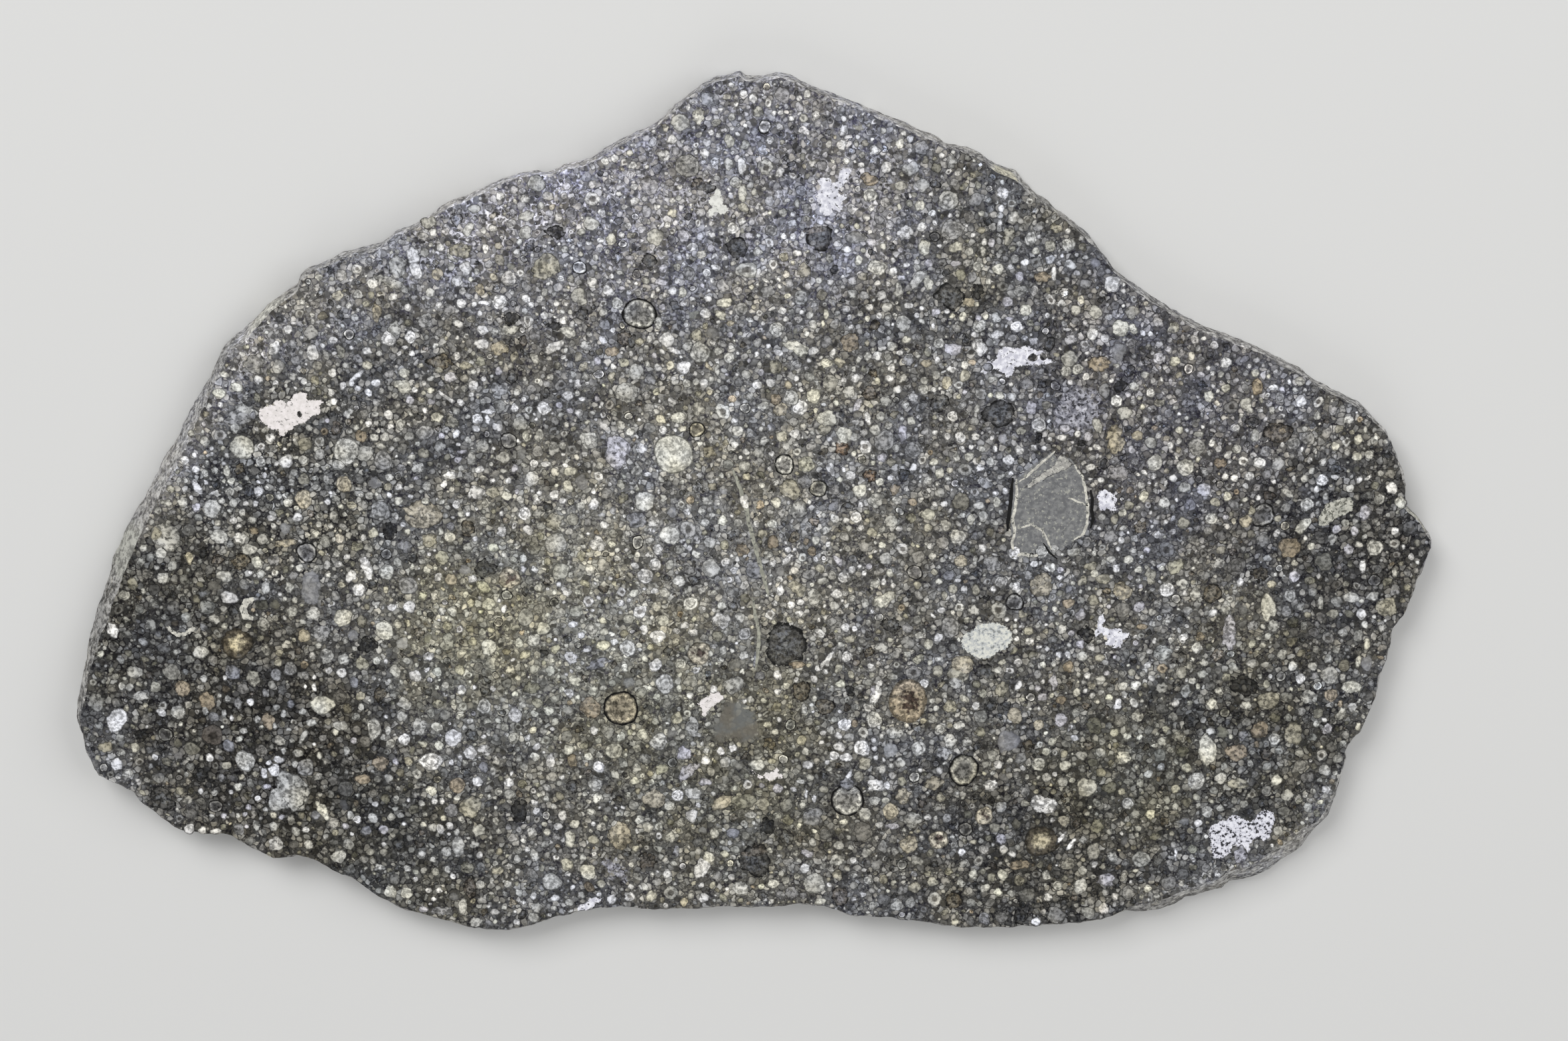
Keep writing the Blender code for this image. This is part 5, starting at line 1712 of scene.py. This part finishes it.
# The inclusions, fragments, lines and cracks, each with the pixels of its corners
PATCHES = (
    Patch("chalk_inclusion_left", CHALK, (
        (390, 616), (400, 611), (412, 609), (413, 602), (425, 602), (431, 607), (438, 600), (443, 592),
        (452, 590), (462, 591), (462, 600), (468, 603), (478, 601), (487, 603), (487, 609), (482, 612),
        (484, 617), (482, 625), (472, 627), (464, 633), (458, 639), (446, 641), (440, 648), (433, 651),
        (430, 656), (420, 657), (419, 648), (409, 648), (403, 646), (400, 640), (391, 636),
        (390, 626))),
    Patch("chalk_inclusion_crown", CREAM_CHALK, (
        (1079, 282), (1086, 285), (1087, 295), (1090, 306), (1097, 311), (1098, 320), (1088, 324),
        (1078, 321), (1074, 328), (1066, 327), (1065, 318), (1072, 312), (1066, 305), (1066, 299),
        (1075, 292), (1076, 284))),
    Patch("white_inclusion_middle", CHALK, (
        (1049, 1060), (1058, 1052), (1068, 1046), (1070, 1036), (1078, 1034), (1082, 1042),
        (1092, 1049), (1086, 1057), (1076, 1062), (1068, 1070), (1062, 1082), (1056, 1078),
        (1057, 1068))),
    Patch("lilac_inclusion_crown", FLUFF, (
        (1262, 264), (1264, 256), (1272, 252), (1282, 252), (1282, 262), (1277, 272), (1270, 280),
        (1264, 284), (1264, 292), (1276, 292), (1278, 299), (1268, 303), (1270, 312), (1264, 322),
        (1256, 318), (1252, 324), (1243, 327), (1238, 322), (1232, 318), (1236, 308), (1228, 303),
        (1230, 290), (1234, 282), (1230, 272), (1232, 266), (1240, 267), (1250, 268), (1253, 274),
        (1262, 272))),
    Patch("lilac_streak", FLUFF, (
        (1476, 562), (1480, 548), (1495, 540), (1500, 540), (1502, 528), (1512, 521), (1530, 524),
        (1548, 520), (1562, 528), (1572, 528), (1580, 540), (1594, 546), (1580, 549), (1560, 551),
        (1545, 551), (1530, 553), (1524, 566), (1516, 570), (1510, 562), (1498, 557), (1486, 563))),
    Patch("lilac_haze", HAZE, (
        (1584, 632), (1590, 610), (1598, 590), (1612, 582), (1630, 578), (1646, 582), (1660, 596),
        (1666, 614), (1664, 636), (1668, 652), (1654, 662), (1640, 656), (1628, 664), (1612, 658),
        (1598, 662), (1588, 650))),
    Patch("branched_inclusion", FLUFF, (
        (1655, 924), (1662, 924), (1665, 934), (1661, 944), (1670, 947), (1688, 946), (1692, 952),
        (1700, 954), (1702, 960), (1692, 965), (1688, 975), (1678, 978), (1670, 972), (1660, 971),
        (1668, 962), (1660, 956), (1650, 960), (1645, 952), (1652, 945), (1653, 935))),
    Patch("lilac_inclusion_lower_right", RIDDLED, (
        (1819, 1252), (1826, 1242), (1838, 1236), (1854, 1229), (1861, 1226), (1874, 1234),
        (1883, 1238), (1890, 1230), (1895, 1222), (1906, 1220), (1918, 1224), (1921, 1234),
        (1916, 1248), (1913, 1262), (1906, 1269), (1900, 1266), (1888, 1264), (1883, 1272),
        (1881, 1285), (1874, 1298), (1865, 1297), (1863, 1285), (1865, 1275), (1856, 1274),
        (1853, 1285), (1842, 1292), (1831, 1295), (1824, 1289), (1823, 1275),
        (1821, 1266)), rough_mm=0.1),
    Patch("lilac_inclusion_foot", HAZE, (
        (903, 1294), (910, 1287), (925, 1287), (930, 1298), (943, 1305), (947, 1320), (944, 1333),
        (932, 1330), (918, 1325), (908, 1316), (904, 1304))),
    Patch("white_streak_foot", FLUFF, (
        (863, 1371), (872, 1364), (884, 1358), (888, 1352), (900, 1352), (912, 1355), (906, 1359),
        (897, 1361), (893, 1367), (886, 1371), (868, 1372))),
    Patch("pale_mottled_clast", MOTTLED, (
        (1447, 962), (1452, 955), (1462, 950), (1470, 941), (1487, 938), (1505, 938), (1517, 944),
        (1525, 955), (1524, 966), (1516, 978), (1503, 982), (1492, 991), (1475, 993), (1460, 986),
        (1450, 978), (1446, 970))),
    Patch("smooth_olive_clast", OLIVE_CLAST, (
        (1088, 1056), (1100, 1048), (1112, 1050), (1128, 1060), (1140, 1070), (1146, 1090),
        (1148, 1108), (1138, 1122), (1120, 1124), (1100, 1118), (1078, 1122), (1070, 1110),
        (1072, 1090), (1080, 1072))),
    Patch("angular_grey_clast", GREY_CLAST, (
        (1528, 722), (1545, 708), (1565, 692), (1585, 679), (1591, 690), (1599, 684), (1612, 690),
        (1622, 702), (1630, 722), (1637, 742), (1641, 765), (1640, 790), (1637, 802), (1622, 812),
        (1608, 822), (1592, 832), (1580, 838), (1568, 832), (1560, 838), (1548, 841), (1524, 842),
        (1521, 800), (1522, 760), (1525, 730))),
    Patch("clast_facet", FACET, (
        (1541, 735), (1556, 722), (1570, 712), (1588, 700), (1593, 685), (1604, 688), (1617, 699),
        (1606, 707), (1596, 711), (1580, 718), (1566, 726), (1550, 736)), drop=0.25),
    Line("clast_line_top", CREAM_LINE, stroke(4.0, (1536, 726), (1552, 712), (1570, 696), (1588, 680))),
    Line("clast_line_left", CREAM_LINE, stroke(
        4.5, (1530, 722), (1531, 742), (1529, 762), (1525, 780), (1528, 800), (1524, 818), (1527, 838))),
    Line("clast_line_right", CREAM_LINE, stroke(
        4.0, (1618, 700), (1630, 719), (1635, 741), (1638, 762), (1637, 786), (1632, 804), (1617, 813))),
    Line("clast_line_low", CREAM_LINE, stroke(
        3.6, (1534, 796), (1552, 790), (1568, 798), (1577, 812), (1583, 828))),
    Line("clast_line_foot", CREAM_LINE, stroke(
        5.0, (1524, 840), (1538, 834), (1556, 838), (1572, 832))),
    Line("clast_scratch", CREAM_LINE, stroke(3.5, (1608, 750), (1620, 754), (1638, 762))),
    Line("crack_left_of_clast", CRACK, stroke(
        5.5, (1525, 720), (1523, 740), (1521, 765), (1518, 785), (1517, 800)), rough_mm=0.03),
    Line("crack_right_of_clast", CRACK, stroke(
        5.0, (1642, 738), (1645, 752), (1644, 768), (1646, 782), (1642, 796)), rough_mm=0.03),
    Line("crack_below_clast", CRACK, stroke(
        3.5, (1571, 818), (1580, 832), (1592, 842)), rough_mm=0.03, drop=0.1),
    Line("cream_crescent", CREAM_LINE, stroke(
        11.0, (382, 902), (371, 906), (366, 917), (370, 929), (381, 932)), rough_mm=0.04),
    Line("pale_vein_upper", VEIN, stroke(
        6.0, (1104, 708), (1113, 732), (1121, 756), (1128, 790), (1138, 826), (1148, 864), (1157, 897))),
    Line("pale_vein_lower", VEIN, stroke(
        5.0, (1133, 900), (1138, 930), (1143, 955), (1141, 985), (1137, 1010))),
    Patch("pale_clast_right", PALE_CLAST, (
        (1984, 782), (1990, 770), (1998, 758), (2008, 754), (2022, 750), (2034, 748), (2040, 758),
        (2037, 768), (2026, 776), (2014, 780), (2004, 788), (1994, 795), (1985, 792))),
    Patch("white_blot_by_clast", FLUFF, (
        (1650, 748), (1656, 739), (1664, 735), (1670, 741), (1677, 742), (1683, 752), (1679, 760),
        (1683, 768), (1674, 772), (1667, 767), (1658, 771), (1652, 763), (1655, 756))),
    Patch("white_wisp_low", CHALK, (
        (1127, 1159), (1133, 1160), (1141, 1166), (1149, 1168), (1152, 1163), (1160, 1163),
        (1165, 1160), (1168, 1155), (1172, 1157), (1173, 1164), (1181, 1170), (1178, 1174),
        (1170, 1172), (1165, 1176), (1156, 1177), (1151, 1172), (1147, 1175), (1140, 1173),
        (1133, 1166))),
    Patch("white_worm", CREAM_LINE, (
        (248, 940), (256, 943), (266, 952), (276, 952), (290, 943), (297, 943), (296, 949), (282, 957),
        (268, 961), (258, 955), (250, 948))),
)

@dataclass
class Studio:
    """A plain pale floor and plain soft light."""

    floor_size: float = 3.0
    floor_colour: Colour = (0.68, 0.68, 0.67)
    floor_roughness: float = 0.7
    floor_drop: float = 0.01 * MM
    world_strength: float = 0.33
    lamps: tuple[tuple[str, Colour, float, float], ...] = (
        ("key", (-0.32, 0.55, 0.62), 0.45, 5.0),
        ("fill", (0.62, 0.22, 0.55), 0.6, 2.6),
        ("low_fill", (-0.1, -0.75, 0.5), 0.6, 1.3),
    )

    def build(self) -> None:
        """Make the floor, the lamps and the surrounding light."""
        sheet = bmesh.new()
        bmesh.ops.create_grid(sheet, x_segments=1, y_segments=1, size=self.floor_size / 2)
        bmesh.ops.translate(sheet, verts=sheet.verts[:], vec=(0.0, 0.0, -self.floor_drop))
        mesh = bpy.data.meshes.new("floor")
        sheet.to_mesh(mesh)
        sheet.free()
        board = Board("floor")
        board.shader.inputs["Base Color"].default_value = (*self.floor_colour, 1.0)
        board.shader.inputs["Roughness"].default_value = self.floor_roughness
        mesh.materials.append(board.material)
        floor = bpy.data.objects.new("floor", mesh)
        bpy.context.scene.collection.objects.link(floor)
        for name, place, size, power in self.lamps:
            self.add_lamp(name, Vector(place), size, power)
        world = bpy.data.worlds.new("studio")
        world.use_nodes = True
        sky = world.node_tree.nodes["Background"]
        sky.inputs["Color"].default_value = (*WHITE, 1.0)
        sky.inputs["Strength"].default_value = self.world_strength
        bpy.context.scene.world = world
        bpy.context.scene.view_settings.view_transform = "Standard"

    def add_lamp(self, name: str, place: Vector, size: float, power: float) -> None:
        """Add a square area lamp that faces the slice."""
        lamp = bpy.data.lights.new(name, "AREA")
        lamp.size = size
        lamp.energy = power
        holder = bpy.data.objects.new(name, lamp)
        holder.location = place
        holder.rotation_mode = "QUATERNION"
        holder.rotation_quaternion = (-place).to_track_quat("-Z", "Y")
        bpy.context.scene.collection.objects.link(holder)


def main() -> None:
    """Build the slice, its grains and inclusions, and the studio."""
    logging.basicConfig(level=logging.INFO, format="%(name)s: %(message)s")
    VIEW.make_camera()
    body = SliceBody()
    stone = body.build()
    LOG.info("%s: %d faces", stone.name, len(stone.data.polygons))
    bed = FaceBed(body.face_outline)
    for patch in PATCHES:
        piece = patch.build(bed)
        LOG.info("%s: %d faces", piece.name, len(piece.data.polygons))
    field = GrainField(bed)
    for piece in field.build():
        LOG.info("%s: %d faces", piece.name, len(piece.data.polygons))
    Studio().build()


if __name__ == "__main__":
    main()
